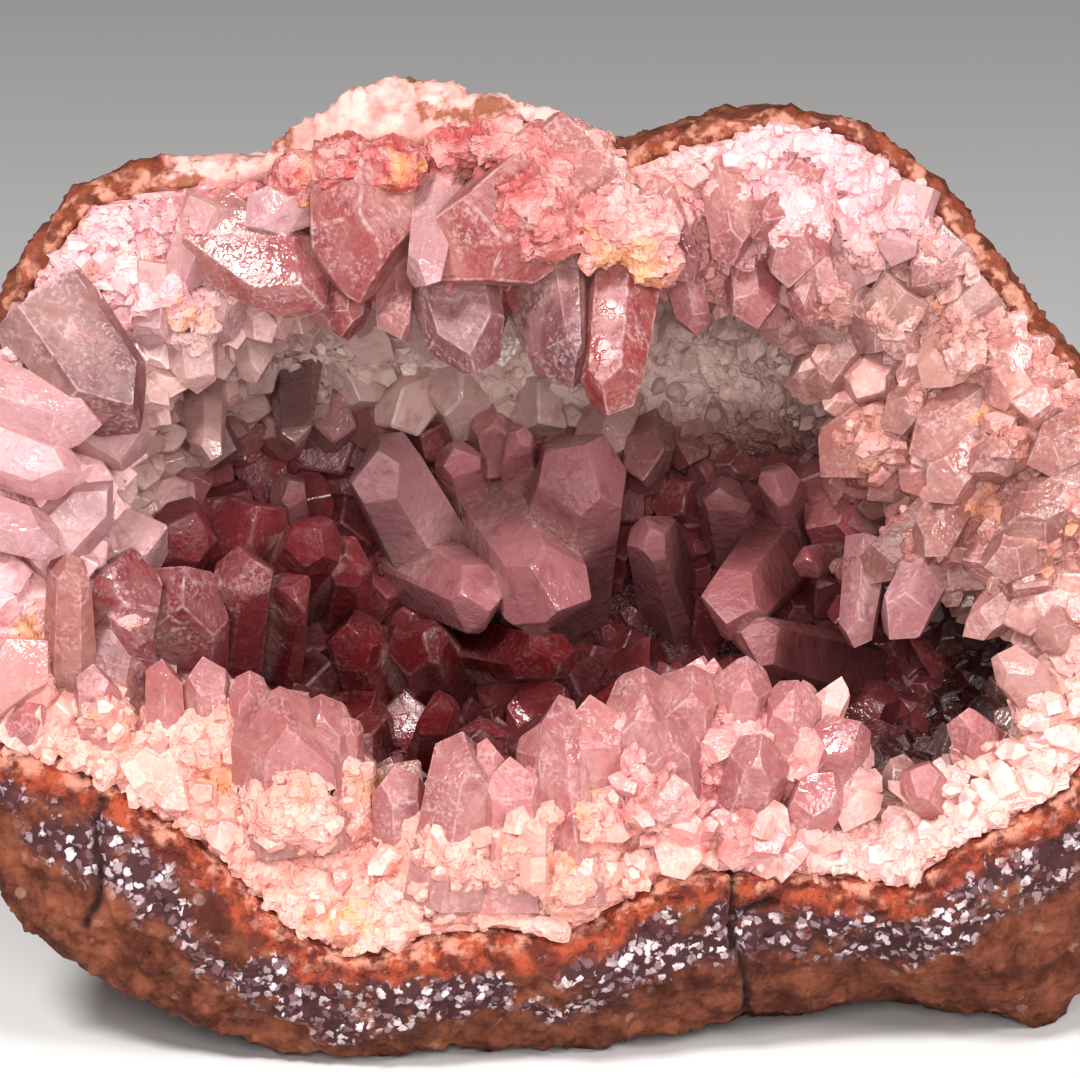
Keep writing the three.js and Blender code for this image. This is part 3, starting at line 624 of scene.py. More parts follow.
# %% Rows of large points
# Tip u, v and w, root u and v, width, and a tint where it differs from its surroundings.
LargePoint = namedtuple("LargePoint", "u v w root_u root_v width tint", defaults=(None,))
POINTS = {
    "ceiling_left_crystals": [
        (-21.5, 76, 3, -31.2, 82.5, 9.5, "rosy"), (-30.9, 84, 3, -22.7, 87.5, 6, "lavender"),
        (-18.0, 75.2, 3, -18.3, 87, 12.5, "rose"), (-12.0, 77.8, -1.5, -10.6, 88, 5.4, "lavender"),
        (-13.5, 77.2, 3, 1.5, 88.5, 14, "rose"), (-4.2, 76.5, 6, -2.7, 87.5, 9, "rose"),
        (1.3, 82, 5, -0.2, 90, 7.5, "rosy"), (-20.5, 72.5, 7, -19.5, 79, 4.2, "rose"),
        (-14.9, 72.2, 5, -14.9, 79, 4.4, "rosy"), (-6.4, 68.3, 4, -9.2, 79, 8.4, "mauve"),
        (2.6, 67.2, 4, 0.6, 82.5, 9.2, "mauve"), (5.9, 64.5, 1.5, 7.9, 83.5, 8.8, "blush"),
    ],
    "ceiling_right_crystals": [
        (14.8, 77.5, 7, 11.3, 85.5, 5, "rosy"), (15.3, 72.5, 12, 13.3, 80.5, 5, "rosy"),
        (18.8, 79.5, 6, 17.8, 87, 5.5, "rosy"), (24.3, 77, 6, 25.3, 85, 7, "rosy"),
        (20.9, 73.3, 9, 20.3, 81, 5.5, "rosy"), (20.3, 82.3, 5, 24.3, 87.5, 5, "rosy"),
        (25.3, 73.5, 8, 26.8, 81, 5, "rosy"),
    ],
    "right_wall_crystals": [
        (30.3, 77, 8, 32.8, 82, 4.8), (34.6, 79.3, 6, 36, 85, 5), (37.3, 67, 6, 41, 72, 5.5, "peach"),
        (25.8, 71.5, 14, 29.3, 77, 6), (31, 70.5, 11, 34.8, 75.5, 6), (26, 66, 15, 30.3, 71.5, 5.5),
        (26.3, 58.5, 14, 33.8, 64, 8.5), (35.8, 60.5, 7, 41.8, 65, 6), (37.3, 56, 6, 43.3, 62, 6.5),
        (37.4, 50.3, 6, 41.3, 57.5, 5.5), (33.8, 42, 11, 38.6, 50.5, 6.5, "dusk"),
        (31.8, 47.5, 14, 37.8, 53.5, 6), (33, 63.5, 9, 37.8, 66.8, 5), (39.3, 73, 6, 42.3, 75.5, 4.2),
        (35.8, 76.5, 7, 39.3, 80.5, 4.5), (30.8, 41.3, 13, 31.8, 49.5, 4.5, "dusk"),
    ],
    "far_right_crystals": [
        (43.3, 49.5, 2, 49.8, 52.3, 5.5), (41.8, 59, 5, 47.3, 61.8, 5), (45.3, 53.5, 2, 52, 57, 6),
        (47.8, 60, 3, 53.3, 63, 5), (49, 44.7, 0, 53.3, 42, 5), (45, 41.5, 0, 49.8, 36.5, 5),
    ],
    "left_wall_crystals": [
        # the first point lies in shadow, and its plum tint is partly painted shade
        (-40.7, 62.5, 4, -49.2, 74, 9.5, "plum"), (-44.7, 72, 1, -50.5, 73.2, 6.4),
        (-44, 63.5, 2, -54.2, 66.8, 6.5), (-46.2, 58.5, 1, -55.2, 61.5, 6),
        (-48.2, 52, 0, -56.2, 54.5, 7), (-39.7, 61, 14, -49, 67, 8), (-43, 59, 10, -50, 52, 8),
        (-47.9, 51.4, 1, -47.7, 40, 5.2, "tan"), (-49.7, 42.8, -1, -56, 38.2, 8),
    ],
    "upper_left_crystals": [
        (-37.7, 76, 9, -34.7, 84, 5), (-33.2, 71.5, 12, -31.7, 79, 5.5), (-40, 71, 9, -39.2, 77.5, 5),
        (-35.2, 66.5, 12, -36, 74, 6), (-33.5, 60.1, 15, -34, 70, 5.4), (-25, 62, 22, -25, 69.5, 4.8),
        (-29, 67.5, 15, -30, 75, 4.8), (-19.7, 72, 12, -20.2, 79, 4.5),
    ],
    "back_crystals": [
        (-17.5, 61.8, 27, -11.7, 50.5, 9.5, "mist"), (-9.2, 61.5, 33, -7.7, 55.5, 6, "dusk"),
        (-5, 45.5, 27, -13.7, 50.5, 9, "dusk"), (1.3, 45.5, 24, -4.7, 55.5, 11, "dusk"),
        # the garnet points lie low at the back, and their tint is partly painted shade
        (1.3, 40, 21, -5.7, 41, 8.5, "garnet"), (4.3, 62.5, 25, 1.3, 48.5, 11.5, "dusk"),
        (-25.7, 58.7, 32, -25.7, 52, 6, "dusk"), (-19.7, 44.5, 26, -16.7, 36, 8, "garnet"),
        (-12.7, 43.5, 25, -10.7, 36.5, 8, "garnet"), (-10.7, 36.5, 19, -11.7, 29.5, 6, "garnet"),
        (10.3, 54, 28, 12.3, 46, 7.5, "dusk"), (16.8, 58, 28, 19.3, 50, 7, "dusk"),
        (22.8, 59.5, 26, 24.8, 53, 6, "dusk"), (-3.2, 63.5, 30, -2.7, 57.5, 5.5, "dusk"),
    ],
    "floor_left_crystals": [
        (-41.2, 52.5, 10, -43.7, 44, 8.8), (-35.2, 55.7, 17, -39.7, 47.5, 8.3),
        (-28.5, 56.4, 22, -33.2, 47.5, 9.8), (-36.2, 50.8, 10, -37.2, 38.5, 9.3),
        (-29.7, 51, 12, -32.2, 38.5, 8.3), (-22, 53.8, 18, -27.7, 45.5, 8.3),
        (-20.2, 51.2, 23, -20.7, 43.5, 6.8), (-42.7, 46.5, 9, -43.7, 38, 8.8),
        (-25.2, 48.5, 14, -27.2, 38.5, 7.3),
    ],
    "floor_right_crystals": [
        (17.5, 43.7, 16, 24.3, 52, 9.5), (25.3, 50.5, 16, 31, 50.5, 5.5), (19.3, 43, 17, 29.8, 39.5, 7),
    ],
    "rim_left_crystals": [
        (-45.2, 40.5, 1, -44.7, 33.5, 5), (-34.7, 41.3, 4, -33.5, 32.5, 5.5),
        (-29.7, 40, 2, -29.9, 31, 5), (-51.7, 36.5, -1, -52.7, 30.5, 5),
        (-26.2, 39, -1.5, -25, 25.5, 11), (-38.7, 41, 3, -38.2, 33, 4.8),
        (-22.2, 37.5, -0.5, -21.7, 25.5, 6), (-19.7, 35.1, 0, -20.2, 26.5, 4),
    ],
    "rim_front_crystals": [
        (-15.2, 30.5, 0, -14.4, 22, 5.5), (-8.1, 34.2, -2, -9.8, 19.5, 8),
        (-3.5, 31.3, -2.5, -3, 19, 7), (-0.9, 35, 0.5, 0.6, 23.5, 6.5), (4.4, 38, 0.5, 5.2, 26, 8),
        (9.6, 40.5, 1, 8.6, 28.5, 8.5), (11.6, 35.4, -2, 12.2, 24.5, 7), (14.9, 41, 1.5, 14, 29.5, 8),
        (20.3, 41.3, 2, 18.3, 30, 7), (-6, 33, -1, -6.2, 18.5, 5), (0.8, 37.5, 1, 2.8, 18.8, 7),
    ],
    "rim_right_crystals": [
        (25.6, 39, 2, 22.3, 28.5, 6.5), (31.6, 35, 0.5, 25.8, 27.5, 6.5),
        (21.5, 33.5, -1.5, 19, 24, 7.5), (28.6, 29.6, 0, 25, 23.5, 6), (40.8, 35, 1, 44.3, 31.5, 5),
        (36.3, 29.5, 0, 39.3, 26.5, 5),
    ],
}
POINTS = {zone: [LargePoint(*row) for row in rows] for zone, rows in POINTS.items()}
# the floor's points take claret, wine red darkened with painted shade
ZONE_TINTS = {"floor_left_crystals": "claret", "floor_right_crystals": "wine"}
ZONE_TINTS |= {f"rim_{part}_crystals": "pale" for part in ("left", "front", "right")}
print("large points:", sum(map(len, POINTS.values())))

# %% Growing one zone
ROOT_SINK = 3.0  # mm that a root runs on into the crust
ROOT_DEEPEST = {"rim_front_crystals": 6.0, "rim_right_crystals": 7.0, "rim_left_crystals": 7.0,
                "ceiling_left_crystals": 9.0, "right_wall_crystals": 17.0}
LARGE_BEVEL = 0.022  # share of the width
DEEP_BEVEL = 0.045  # the points of the floor and the back have rounder edges
DEEP_ZONES = ("floor_left_crystals", "back_crystals", "floor_right_crystals")
THREE_FACED_BELOW = 5.6  # mm: narrower points end in three faces only
POINT_SHARP_ANGLE = 32
WAVINESS = 0.05  # mm


def crust_depth(u, v):
    """How deep the crust lies behind a place of the mouth, in mm."""
    start = from_mouth(u, v, -30)
    sight = from_mouth(u, v, 60) - start
    hit = lining_tree.ray_cast(Vector(start), Vector(sight))[0]
    return float(to_mouth(np.array(hit))[2]) if hit else 10.0


def upright_to(direction):
    """A rotation that turns +Z into a direction."""
    return np.array(Vector(direction).to_track_quat("Z", "X").to_matrix())


def root_of(zone, row):
    """Where a point's root stands on the crust, in metres. Those of the rim stand on its crest."""
    depth = min(crust_depth(row.root_u, row.root_v), ROOT_DEEPEST.get(zone, math.inf))
    return from_mouth(row.root_u, row.root_v, depth)


def large_point(zone, row, rng):
    """Points, triangles, worn edges and the share of the way from root to tip, for one row."""
    tip = from_mouth(row.u, row.v, row.w) / MM
    root = root_of(zone, row) / MM
    axis = (tip - root) / np.linalg.norm(tip - root)
    root = root - axis * ROOT_SINK
    length = np.linalg.norm(tip - root)
    bevel = DEEP_BEVEL if zone in DEEP_ZONES else LARGE_BEVEL
    three_faced = row.width < THREE_FACED_BELOW
    points, faces, edges = crystal_shape(length, row.width, rng, three_faced, bevel, 2)
    along = points[:, 2] / length
    points = root + points @ upright_to(axis).T
    return points * MM, faces, edges, along


def grow_zone(zone, seed):
    """The points of one zone as one solid, with a tint and a polish for every face."""
    pieces = []
    for i, row in enumerate(POINTS[zone]):
        rng = np.random.default_rng((seed, i))
        points, faces, edges, along = large_point(zone, row, rng)
        piece = mesh_object(f"{zone}_{i}", points, faces)
        named = row.tint or ZONE_TINTS.get(zone)
        around = area_tint(*to_mouth(points.mean(0, keepdims=True)))[0]
        tint = np.clip((TINTS[named] if named else around) * rng.uniform(0.88, 1.12), 0, PALEST)
        store_colours(piece.data, "tint", np.tile(tint, (len(faces), 1)), "FACE")
        store_values(piece.data, "along", along)
        store_values(piece.data, "depth", to_mouth(points)[2])
        store_values(piece.data, "polish", np.full(len(faces), rng.random()), "FACE")
        store_values(piece.data, "edge", edges, "FACE")
        pieces.append(piece)
    base, *others = pieces
    base.name = base.data.name = zone.replace("crystals", "points")
    for other in others:
        union = base.modifiers.new("union", "BOOLEAN")
        union.solver = "MANIFOLD"
        union.operation = "UNION"
        union.object = other
    apply_modifiers(base)
    for other in others:
        bpy.data.objects.remove(other)
    points = values_of(base.data.vertices, "co", 3)
    normals = values_of(base.data.vertex_normals, "vector", 3)
    points += normals * (WAVINESS * swell(points, 2.6, 2, 0.4))[:, None] * MM
    move_points(base.data, points)
    shade_smooth(base.data, POINT_SHARP_ANGLE)
    return base


grown = {zone: grow_zone(zone, i) for i, zone in enumerate(POINTS)}
crystal_tree = tree_of(*[piece.data for piece in grown.values()])
print("zones:", len(grown), "faces:", sum(len(p.data.polygons) for p in grown.values()))

# %% [markdown]
# ## Collars
# Where a large point leaves the crust, finer quartz has grown up around its root, so it
# stands in an uneven collar. Metaballs could make one, but are slow in such numbers. Here
# each collar starts as a few round lumps along the root. All the lumps are melted together
# into one skin by a remesh, which then gets the crust's own roughness.

# %% Collars: lumps along the roots
COLLAR_VOXEL = 0.62 * MM
COLLAR_STEPS = 4  # lumps along each root
COLLAR_TAPER = 0.14  # how much thinner the last lump is, as a share of the point's width
# How far up its points each zone's collars reach, and how thick they are beside the width.
COLLARS = {
    "rim_front_crystals": (0.34, 0.62), "rim_left_crystals": (0.34, 0.58),
    "ceiling_left_crystals": (0.02, 0.40), "back_crystals": (0.02, 0.35),
    "floor_left_crystals": (0.02, 0.35), "floor_right_crystals": (0.05, 0.4),
    "left_wall_crystals": (0.0, 0.2),
}
OTHER_COLLARS = (0.14, 0.52)
# Heaps of fine quartz on the rim and under the slab, as mouth places and a radius.
MOUNDS = [
    (8, 27, 6, 4.5), (12, 29.5, 6, 5), (16, 31, 6.5, 5.5), (20.5, 31.5, 6.5, 5.5), (24.5, 30.5, 6.5, 5),
    (28, 28, 6.5, 4.5), (15, 35, 8, 3.5), (19, 35.5, 8, 3.5), (26.5, 33.5, 7.5, 3.2), (-26, 29, 5, 6),
    (-21, 26, 5, 5), (-33, 32, 6, 5), (-25, 88.5, 5, 3), (-20.5, 90, 4, 3.4), (-15.5, 89.8, 4, 3.2),
    (-10, 91.5, 6, 2.6), (-6, 92, 5.5, 3), (-2, 91.5, 5, 3.2), (2, 90, 5.5, 3.4), (5.5, 87.5, 6, 3.6),
    (2.5, 84.5, 3.5, 3.4), (6.5, 84.5, 2.5, 4), (9.5, 83.5, 3, 4), (10.5, 80.5, 4, 2.8),
    (5, 81.5, 1.5, 2.2),
]


def unit_ball():
    """Points and faces of a ball of radius 1."""
    edit = bmesh.new()
    bmesh.ops.create_icosphere(edit, subdivisions=2, radius=1.0)
    points = np.array([v.co for v in edit.verts])
    faces = np.array([[v.index for v in f.verts] for f in edit.faces])
    edit.free()
    return points, faces


ball_points, ball_faces = unit_ball()
collar_rng = np.random.default_rng(23)
lumps = []  # the centre and the radius of each, in metres
for zone, rows in POINTS.items():
    reach, size = COLLARS.get(zone, OTHER_COLLARS)
    for row in rows:
        tip = from_mouth(row.u, row.v, row.w)
        root = root_of(zone, row)
        for t in np.linspace(0, 1, COLLAR_STEPS):
            radius = row.width * MM * (size - COLLAR_TAPER * t) * collar_rng.uniform(0.8, 1.1)
            stray = collar_rng.normal(0, 0.12, 3) * row.width * MM
            lumps.append((root + (tip - root) * reach * t + stray, radius))
lumps += [(from_mouth(u, v, w), radius * MM) for u, v, w, radius in MOUNDS]
print("lumps:", len(lumps))

# %% Collars: one rough skin
collar_points = np.concatenate([centre + ball_points * radius for centre, radius in lumps])
collar_faces = np.concatenate([ball_faces + len(ball_points) * i for i in range(len(lumps))])
collars = mesh_object("root_collars", collar_points, collar_faces)
voxel_remesh(collars, COLLAR_VOXEL)
points = values_of(collars.data.vertices, "co", 3)
normals = values_of(collars.data.vertex_normals, "vector", 3)
relief = 1.6 * facets(points, 2.6) + 0.4 * ridges(points, 1.5, 3) + 0.5 * swell(points, 4, 2)
points += normals * relief[:, None] * MM
points[:, 2] = np.maximum(points[:, 2], 0)
move_points(collars.data, points)
u, v, w = to_mouth(points)
store_colours(collars.data, "tint", area_tint(u, v, w))
store_values(collars.data, "depth", w)
shade_smooth(collars.data, CRUST_SHARP_ANGLE)
print("collar points:", len(points))

# %% [markdown]
# ## Small crystals
# Thousands of small quartz points cover the crust. Geometry nodes could scatter them, but
# their size, lean and tint depend on the area, so they are placed in code. A few dozen
# shapes are cut by planes, and then used over and over, turned and scaled, all at once with
# arrays. Only their tops show, because their roots are grown together.

# %% A stock of small shapes
def shape_stock(count, seed, bevel):
    """Crystal shapes of width 1. Two in three end in three faces only."""
    rng = np.random.default_rng(seed)
    return [crystal_shape(rng.uniform(1.0, 1.6), 1.0, rng, i % 3 > 0, bevel) for i in range(count)]


WORN = shape_stock(40, 5, 0.035)  # with worn edges, for crystals wide enough to show them
SHARP = shape_stock(40, 6, 0.0)
for label, stock in (("worn", WORN), ("sharp", SHARP)):
    print(label, "triangles in a shape:", np.mean([len(shape[1]) for shape in stock]).round(1))

# %% Placing them all at once
def unit(vectors):
    """The same directions, each of length 1."""
    return vectors / np.linalg.norm(vectors, axis=1, keepdims=True)


def many_crystals(name, stock, feet, directions, widths, tints, rng):
    """One mesh of small crystals. Feet, directions, widths and tints hold one row for each."""
    kinds = rng.integers(0, len(stock), len(feet))
    turns = rng.uniform(0, math.tau, len(feet))
    stretch = rng.uniform(0.85, 1.2, (len(feet), 3))
    polish = rng.random(len(feet))
    directions = unit(directions)
    helper = np.where(np.abs(directions[:, 2:3]) < 0.9, [[0.0, 0.0, 1.0]], [[1.0, 0.0, 0.0]])
    side = unit(np.cross(helper, directions))
    other = np.cross(directions, side)
    made = {"points": [], "faces": [], "edge": [], "tint": [], "along": [], "polish": []}
    first = 0
    for kind, (points, faces, edges) in enumerate(stock):
        chosen = np.flatnonzero(kinds == kind)
        if len(chosen) == 0:
            continue
        local = points * stretch[chosen][:, None] * widths[chosen][:, None, None]
        cos, sin = np.cos(turns[chosen])[:, None], np.sin(turns[chosen])[:, None]
        x = (local[..., 0] * cos - local[..., 1] * sin)[..., None]
        y = (local[..., 0] * sin + local[..., 1] * cos)[..., None]
        foot, along_x, along_y, up = (a[chosen][:, None] for a in (feet, side, other, directions))
        placed = foot + x * along_x + y * along_y + local[..., 2:] * up
        offsets = first + len(points) * np.arange(len(chosen))
        made["points"].append(placed.reshape(-1, 3))
        made["faces"].append((faces[None] + offsets[:, None, None]).reshape(-1, 3))
        made["edge"].append(np.tile(edges, len(chosen)))
        made["tint"].append(np.repeat(tints[chosen], len(points), axis=0))
        made["along"].append(np.tile(points[:, 2] / points[:, 2].max(), len(chosen)))
        made["polish"].append(np.repeat(polish[chosen], len(points)))
        first += len(points) * len(chosen)
    made = {key: np.concatenate(parts) for key, parts in made.items()}
    piece = mesh_object(name, made["points"], made["faces"])
    store_colours(piece.data, "tint", made["tint"])
    store_values(piece.data, "along", made["along"])
    store_values(piece.data, "depth", to_mouth(made["points"])[2])
    store_values(piece.data, "polish", made["polish"])
    store_values(piece.data, "edge", made["edge"], "FACE")
    return piece


# %% [markdown]
# ### Where they grow
# Places are drawn at random over the crust, more of them where an area has more crystals.
# The widest crystals are placed first, and a place too close to one that is already there
# is dropped, so neighbours touch but don't swallow each other. A grid of cells keeps the
# search short.

# %% Choosing where they grow
GRID = 2.0 * MM
TOUCHING = 0.34  # centres stay this share of two widths apart
ABOVE = 0.3 * MM  # a test for large points starts this far above the crust


def growing_places(mesh, wanted, rng, width_at, density):
    """Seeded random places on a mesh, each clear of its larger neighbours.

    wanted gives each face's share, width_at the widths, density the tries to a square mm."""
    middles = values_of(mesh.polygons, "center", 3)
    face_normals = values_of(mesh.polygons, "normal", 3)
    shares = values_of(mesh.polygons, "area", 1)[:, 0] * wanted(middles, face_normals)
    tries = int(shares.sum() / MM**2 * density)
    picks = rng.choice(len(shares), tries, p=shares / shares.sum())
    corners = [mesh.polygons[i].vertices[:3] for i in picks]
    points = values_of(mesh.vertices, "co", 3)[np.array(corners)]
    mix = rng.dirichlet((1, 1, 1), tries)
    places = np.einsum("nk,nkc->nc", mix, points)
    widths = width_at(places, rng)
    grid, chosen = {}, []
    for i in np.argsort(-widths):
        key = tuple((places[i] // GRID).astype(int))
        reach = int(widths[i] * 2 * TOUCHING / GRID) + 1
        near = (
            j
            for a in range(key[0] - reach, key[0] + reach + 1)
            for b in range(key[1] - reach, key[1] + reach + 1)
            for c in range(key[2] - reach, key[2] + reach + 1)
            for j in grid.get((a, b, c), ())
        )
        x, y, z = places[i]
        clear = all(
            (x - places[j, 0]) ** 2 + (y - places[j, 1]) ** 2 + (z - places[j, 2]) ** 2
            > (TOUCHING * (widths[i] + widths[j])) ** 2
            for j in near
        )
        if clear:
            grid.setdefault(key, []).append(i)
            chosen.append(i)
    return places[chosen], face_normals[picks][chosen], widths[chosen]


def inside_points(place, direction):
    """True where a place is inside one of the large points."""
    hit, normal, _, _ = crystal_tree.ray_cast(Vector(place), Vector(direction))
    return hit is not None and normal.dot(Vector(direction)) > 0


def only_free(places, outward, widths):
    """Those places that no large point covers."""
    free = [not inside_points(p + n * ABOVE, n) for p, n in zip(places, outward)]
    return places[free], outward[free], widths[free]


# %% Small crystals on the crust
LEAST = np.array([a.least for a in AREAS]) * MM
MOST = np.array([a.most for a in AREAS]) * MM
WIDE = 2.0 * MM  # from this width on, worn edges show
MILKY = np.array([0.80, 0.50, 0.42])
INWARD_LEAN = 0.5  # crystals lean a little to the middle of the hollow
STRAY = 0.3  # and each a little its own way
rng = np.random.default_rng(11)


def small_width(places, rng):
    """Widths after the area's range. Those beside the rock stay small, so its edge shows."""
    area = nearness(*to_mouth(places)).argmin(0)
    widths = LEAST[area] + (MOST[area] - LEAST[area]) * rng.random(len(places)) ** 2.2
    return widths * (1 - 0.55 * smoothstep(2.8, 1.0, distance_to(rock_tree, places)))


def in_the_hollow(middles, face_normals):
    """Each face's share of crystals: none outside the hollow, then after the area."""
    return is_inside(middles, face_normals) * area_share(middles)


places, outward, widths = growing_places(crust.data, in_the_hollow, rng, small_width, 5.0)
places, outward, widths = only_free(places, outward, widths)
inward = INWARD_LEAN * unit(CAVITY_MIDDLE - places)
leaning = unit(outward + inward + rng.normal(0, STRAY, places.shape))
sunk = 0.55 + 0.3 * smoothstep(14, 6, to_mouth(places)[2])  # beside the width; more near the mouth
feet = places - leaning * (sunk * widths)[:, None]


def varied_tints(places, rng):
    """The tint of the area, a little lighter or darker, and now and then milkier."""
    tints = area_tint(*to_mouth(places)) * rng.uniform(0.8, 1.2, (len(places), 1))
    near = smoothstep(24, 10, to_mouth(places)[2])[:, None]
    milk = 0.4 * rng.random((len(places), 1)) ** 2 * near
    return np.clip(tints * (1 - milk) + milk * MILKY, 0, PALEST)


tints = varied_tints(places, rng)
wide = widths >= WIDE
small, tiny = (
    many_crystals(name, stock, feet[some], leaning[some], widths[some], tints[some], rng)
    for name, stock, some in (("small_crystals", WORN, wide), ("tiny_crystals", SHARP, ~wide))
)
print("small crystals:", wide.sum(), "tiny crystals:", (~wide).sum())

# %% [markdown]
# ### On the collars
# A few small crystals stand on every collar. The heap at the front right of the rim is
# thick with them, and they are wider there.

# %% Small crystals on the collars
HOLLOW_RADIUS = 30 * MM  # roughly


def front_heap(u, v, w):
    """1 on the heap at the front right of the rim, 0 away from it."""
    return smoothstep(6, 13, u) * smoothstep(36, 31, u) * smoothstep(46, 42, v) * smoothstep(10, 4, w)


def on_collars(middles, face_normals):
    """Each face's share of crystals: few, none near the top, and many on the heap."""
    u, v, w = to_mouth(middles)
    return 0.08 * smoothstep(76, 68, v) + 0.75 * front_heap(u, v, w)


def collar_width(places, rng):
    """Widths of 1 to 2.6 mm, and up to 4.2 mm on the heap."""
    return (1.0 + (1.6 + 1.6 * front_heap(*to_mouth(places))) * rng.random(len(places)) ** 2) * MM


places, outward, widths = growing_places(collars.data, on_collars, rng, collar_width, 1.6)
places, outward, widths = only_free(places, outward, widths)
inward = 0.4 * (CAVITY_MIDDLE - places) / HOLLOW_RADIUS
leaning = unit(outward + inward + rng.normal(0, STRAY, places.shape))
feet = places - leaning * (0.6 * widths)[:, None]
grains = many_crystals("collar_crystals", SHARP, feet, leaning, widths, varied_tints(places, rng), rng)
print("collar crystals:", len(places))

# %% [markdown]
# ## Materials
# The finishes are built from nodes: smooth noise of several sizes, and the numbers stored on
# the meshes, such as each crystal's tint. They could be dragged together by hand in the
# shader editor. Here a few short functions add the nodes that come up again and again, and
# give back the socket to build on. An effect that several finishes share becomes a group.

# %% Node helpers
def new_material(name):
    """A material, its node tree, and the sockets of its Principled surface."""
    material = bpy.data.materials.new(name)
    material.use_nodes = True
    tree = material.node_tree
    return material, tree, tree.nodes["Principled BSDF"].inputs


def feed(tree, socket, value):
    """Gives a socket its value: another socket, a number or a colour."""
    if isinstance(value, bpy.types.NodeSocket):
        tree.links.new(value, socket)
    elif isinstance(value, (int, float)):
        socket.default_value = value
    else:
        socket.default_value = (*value, 1.0)


def mix_colour(tree, factor, first, second, blend="MIX"):
    """A colour Mix node. Its sockets 0, 6, 7 and 2 are those for the factor and for colours."""
    node = tree.nodes.new("ShaderNodeMix")
    node.data_type = "RGBA"
    node.blend_type = blend
    for socket, value in zip((0, 6, 7), (factor, first, second)):
        feed(tree, node.inputs[socket], value)
    return node.outputs[2]


def ramp(tree, value, low, high, start=0.0, end=1.0):
    """A Map Range node with a smooth step: start where the value is low, end where it is high."""
    node = tree.nodes.new("ShaderNodeMapRange")
    node.interpolation_type = "SMOOTHSTEP"
    tree.links.new(value, node.inputs["Value"])
    for name, number in (("From Min", low), ("From Max", high), ("To Min", start), ("To Max", end)):
        node.inputs[name].default_value = number
    return node.outputs["Result"]


def maths(tree, operation, *values):
    """A Math node."""
    node = tree.nodes.new("ShaderNodeMath")
    node.operation = operation
    for socket, value in zip(node.inputs, values):
        feed(tree, socket, value)
    return node.outputs[0]


def times(tree, *values):
    """All the values multiplied together."""
    product = values[0]
    for value in values[1:]:
        product = maths(tree, "MULTIPLY", product, value)
    return product


def times_plus(tree, value, factor, extra):
    """The value times the factor, plus the extra."""
    return maths(tree, "MULTIPLY_ADD", value, factor, extra)


def noise_node(tree, place, size, detail=4.0, roughness=0.55):
    """Noise with lumps of about the given size in mm."""
    node = tree.nodes.new("ShaderNodeTexNoise")
    tree.links.new(place, node.inputs["Vector"])
    node.inputs["Scale"].default_value = 1 / (size * MM)
    node.inputs["Detail"].default_value = detail
    node.inputs["Roughness"].default_value = roughness
    return node.outputs["Fac"]


def attribute(tree, name, output="Fac"):
    """What a mesh stores under a name: Fac for a number, Color for a colour."""
    node = tree.nodes.new("ShaderNodeAttribute")
    node.attribute_name = name
    return node.outputs[output]


def place_node(tree):
    """Where a point lies on the object, in metres."""
    return tree.nodes.new("ShaderNodeTexCoord").outputs["Object"]


def bump(tree, height, strength, distance):
    """A normal that tilts as if the surface had this height, in metres."""
    node = tree.nodes.new("ShaderNodeBump")
    node.inputs["Strength"].default_value = strength
    node.inputs["Distance"].default_value = distance
    tree.links.new(height, node.inputs["Height"])
    return node.outputs["Normal"]


def new_group(name, inputs, outputs):
    """An empty node group, the sockets that it is given, and those that it puts out."""
    group = bpy.data.node_groups.new(name, "ShaderNodeTree")
    for label, kind in inputs.items():
        group.interface.new_socket(name=label, in_out="INPUT", socket_type="NodeSocket" + kind)
    for label, kind in outputs.items():
        group.interface.new_socket(name=label, in_out="OUTPUT", socket_type="NodeSocket" + kind)
    return group, group.nodes.new("NodeGroupInput").outputs, group.nodes.new("NodeGroupOutput").inputs


def place_group(tree, group, values):
    """Places a node group with its own values, and gives back what it puts out."""
    node = tree.nodes.new("ShaderNodeGroup")
    node.node_tree = group
    for name, value in values.items():
        feed(tree, node.inputs[name], value)
    return node.outputs


# %% [markdown]
# ### Mottling
# Quartz is never one even colour: milky clouds and darker veils run through it. The crust
# and all the crystals show this, each in its own measure, so it is one node group with an
# input for each share.

# %% Mottling, as a group
VEIL = (0.62, 0.42, 0.46)  # multiplies the colour where a veil is


def mottling_group():
    """Mixes milky clouds and darker veils into a tint."""
    group, given, put = new_group(
        "quartz mottling",
        {"Place": "Vector", "Tint": "Color", "Milk": "Color",
         "Milk Share": "Float", "Veil Share": "Float"},
        {"Color": "Color", "Height": "Float"},
    )
    place = given["Place"]
    clouds = ramp(group, noise_node(group, place, 4.5, 2.0, 0.6), 0.40, 0.68)
    fine = ramp(group, noise_node(group, place, 1.1, 2.0, 0.6), 0.42, 0.66)
    cloudy = times_plus(group, fine, 0.4, times(group, clouds, 0.8))
    milky = mix_colour(group, times(group, cloudy, given["Milk Share"]), given["Tint"], given["Milk"])
    veils = ramp(group, noise_node(group, place, 2.4, 3.0, 0.6), 0.52, 0.72)
    veiled = mix_colour(group, times(group, veils, given["Veil Share"]), milky, VEIL, "MULTIPLY")
    grain = noise_node(group, place, 0.4, 2.0, 0.7)
    feed(group, put["Color"], veiled)
    feed(group, put["Height"], times_plus(group, grain, 0.6, fine))
    return group


MOTTLING = mottling_group()
print("nodes in the mottling group:", len(MOTTLING.nodes))

# %% [markdown]
# ### White roots and painted edge highlights
# A crystal is whiter at its root, where it grew fast, and its bevelled edges get a painted
# highlight, pale here and there. The meshes store how far each point lies from root to tip,
# and which faces are the bevelled edges. Pointiness could find the edges too, but with so
# few points to a crystal it would spread over whole faces. A sugary noise breaks both up.

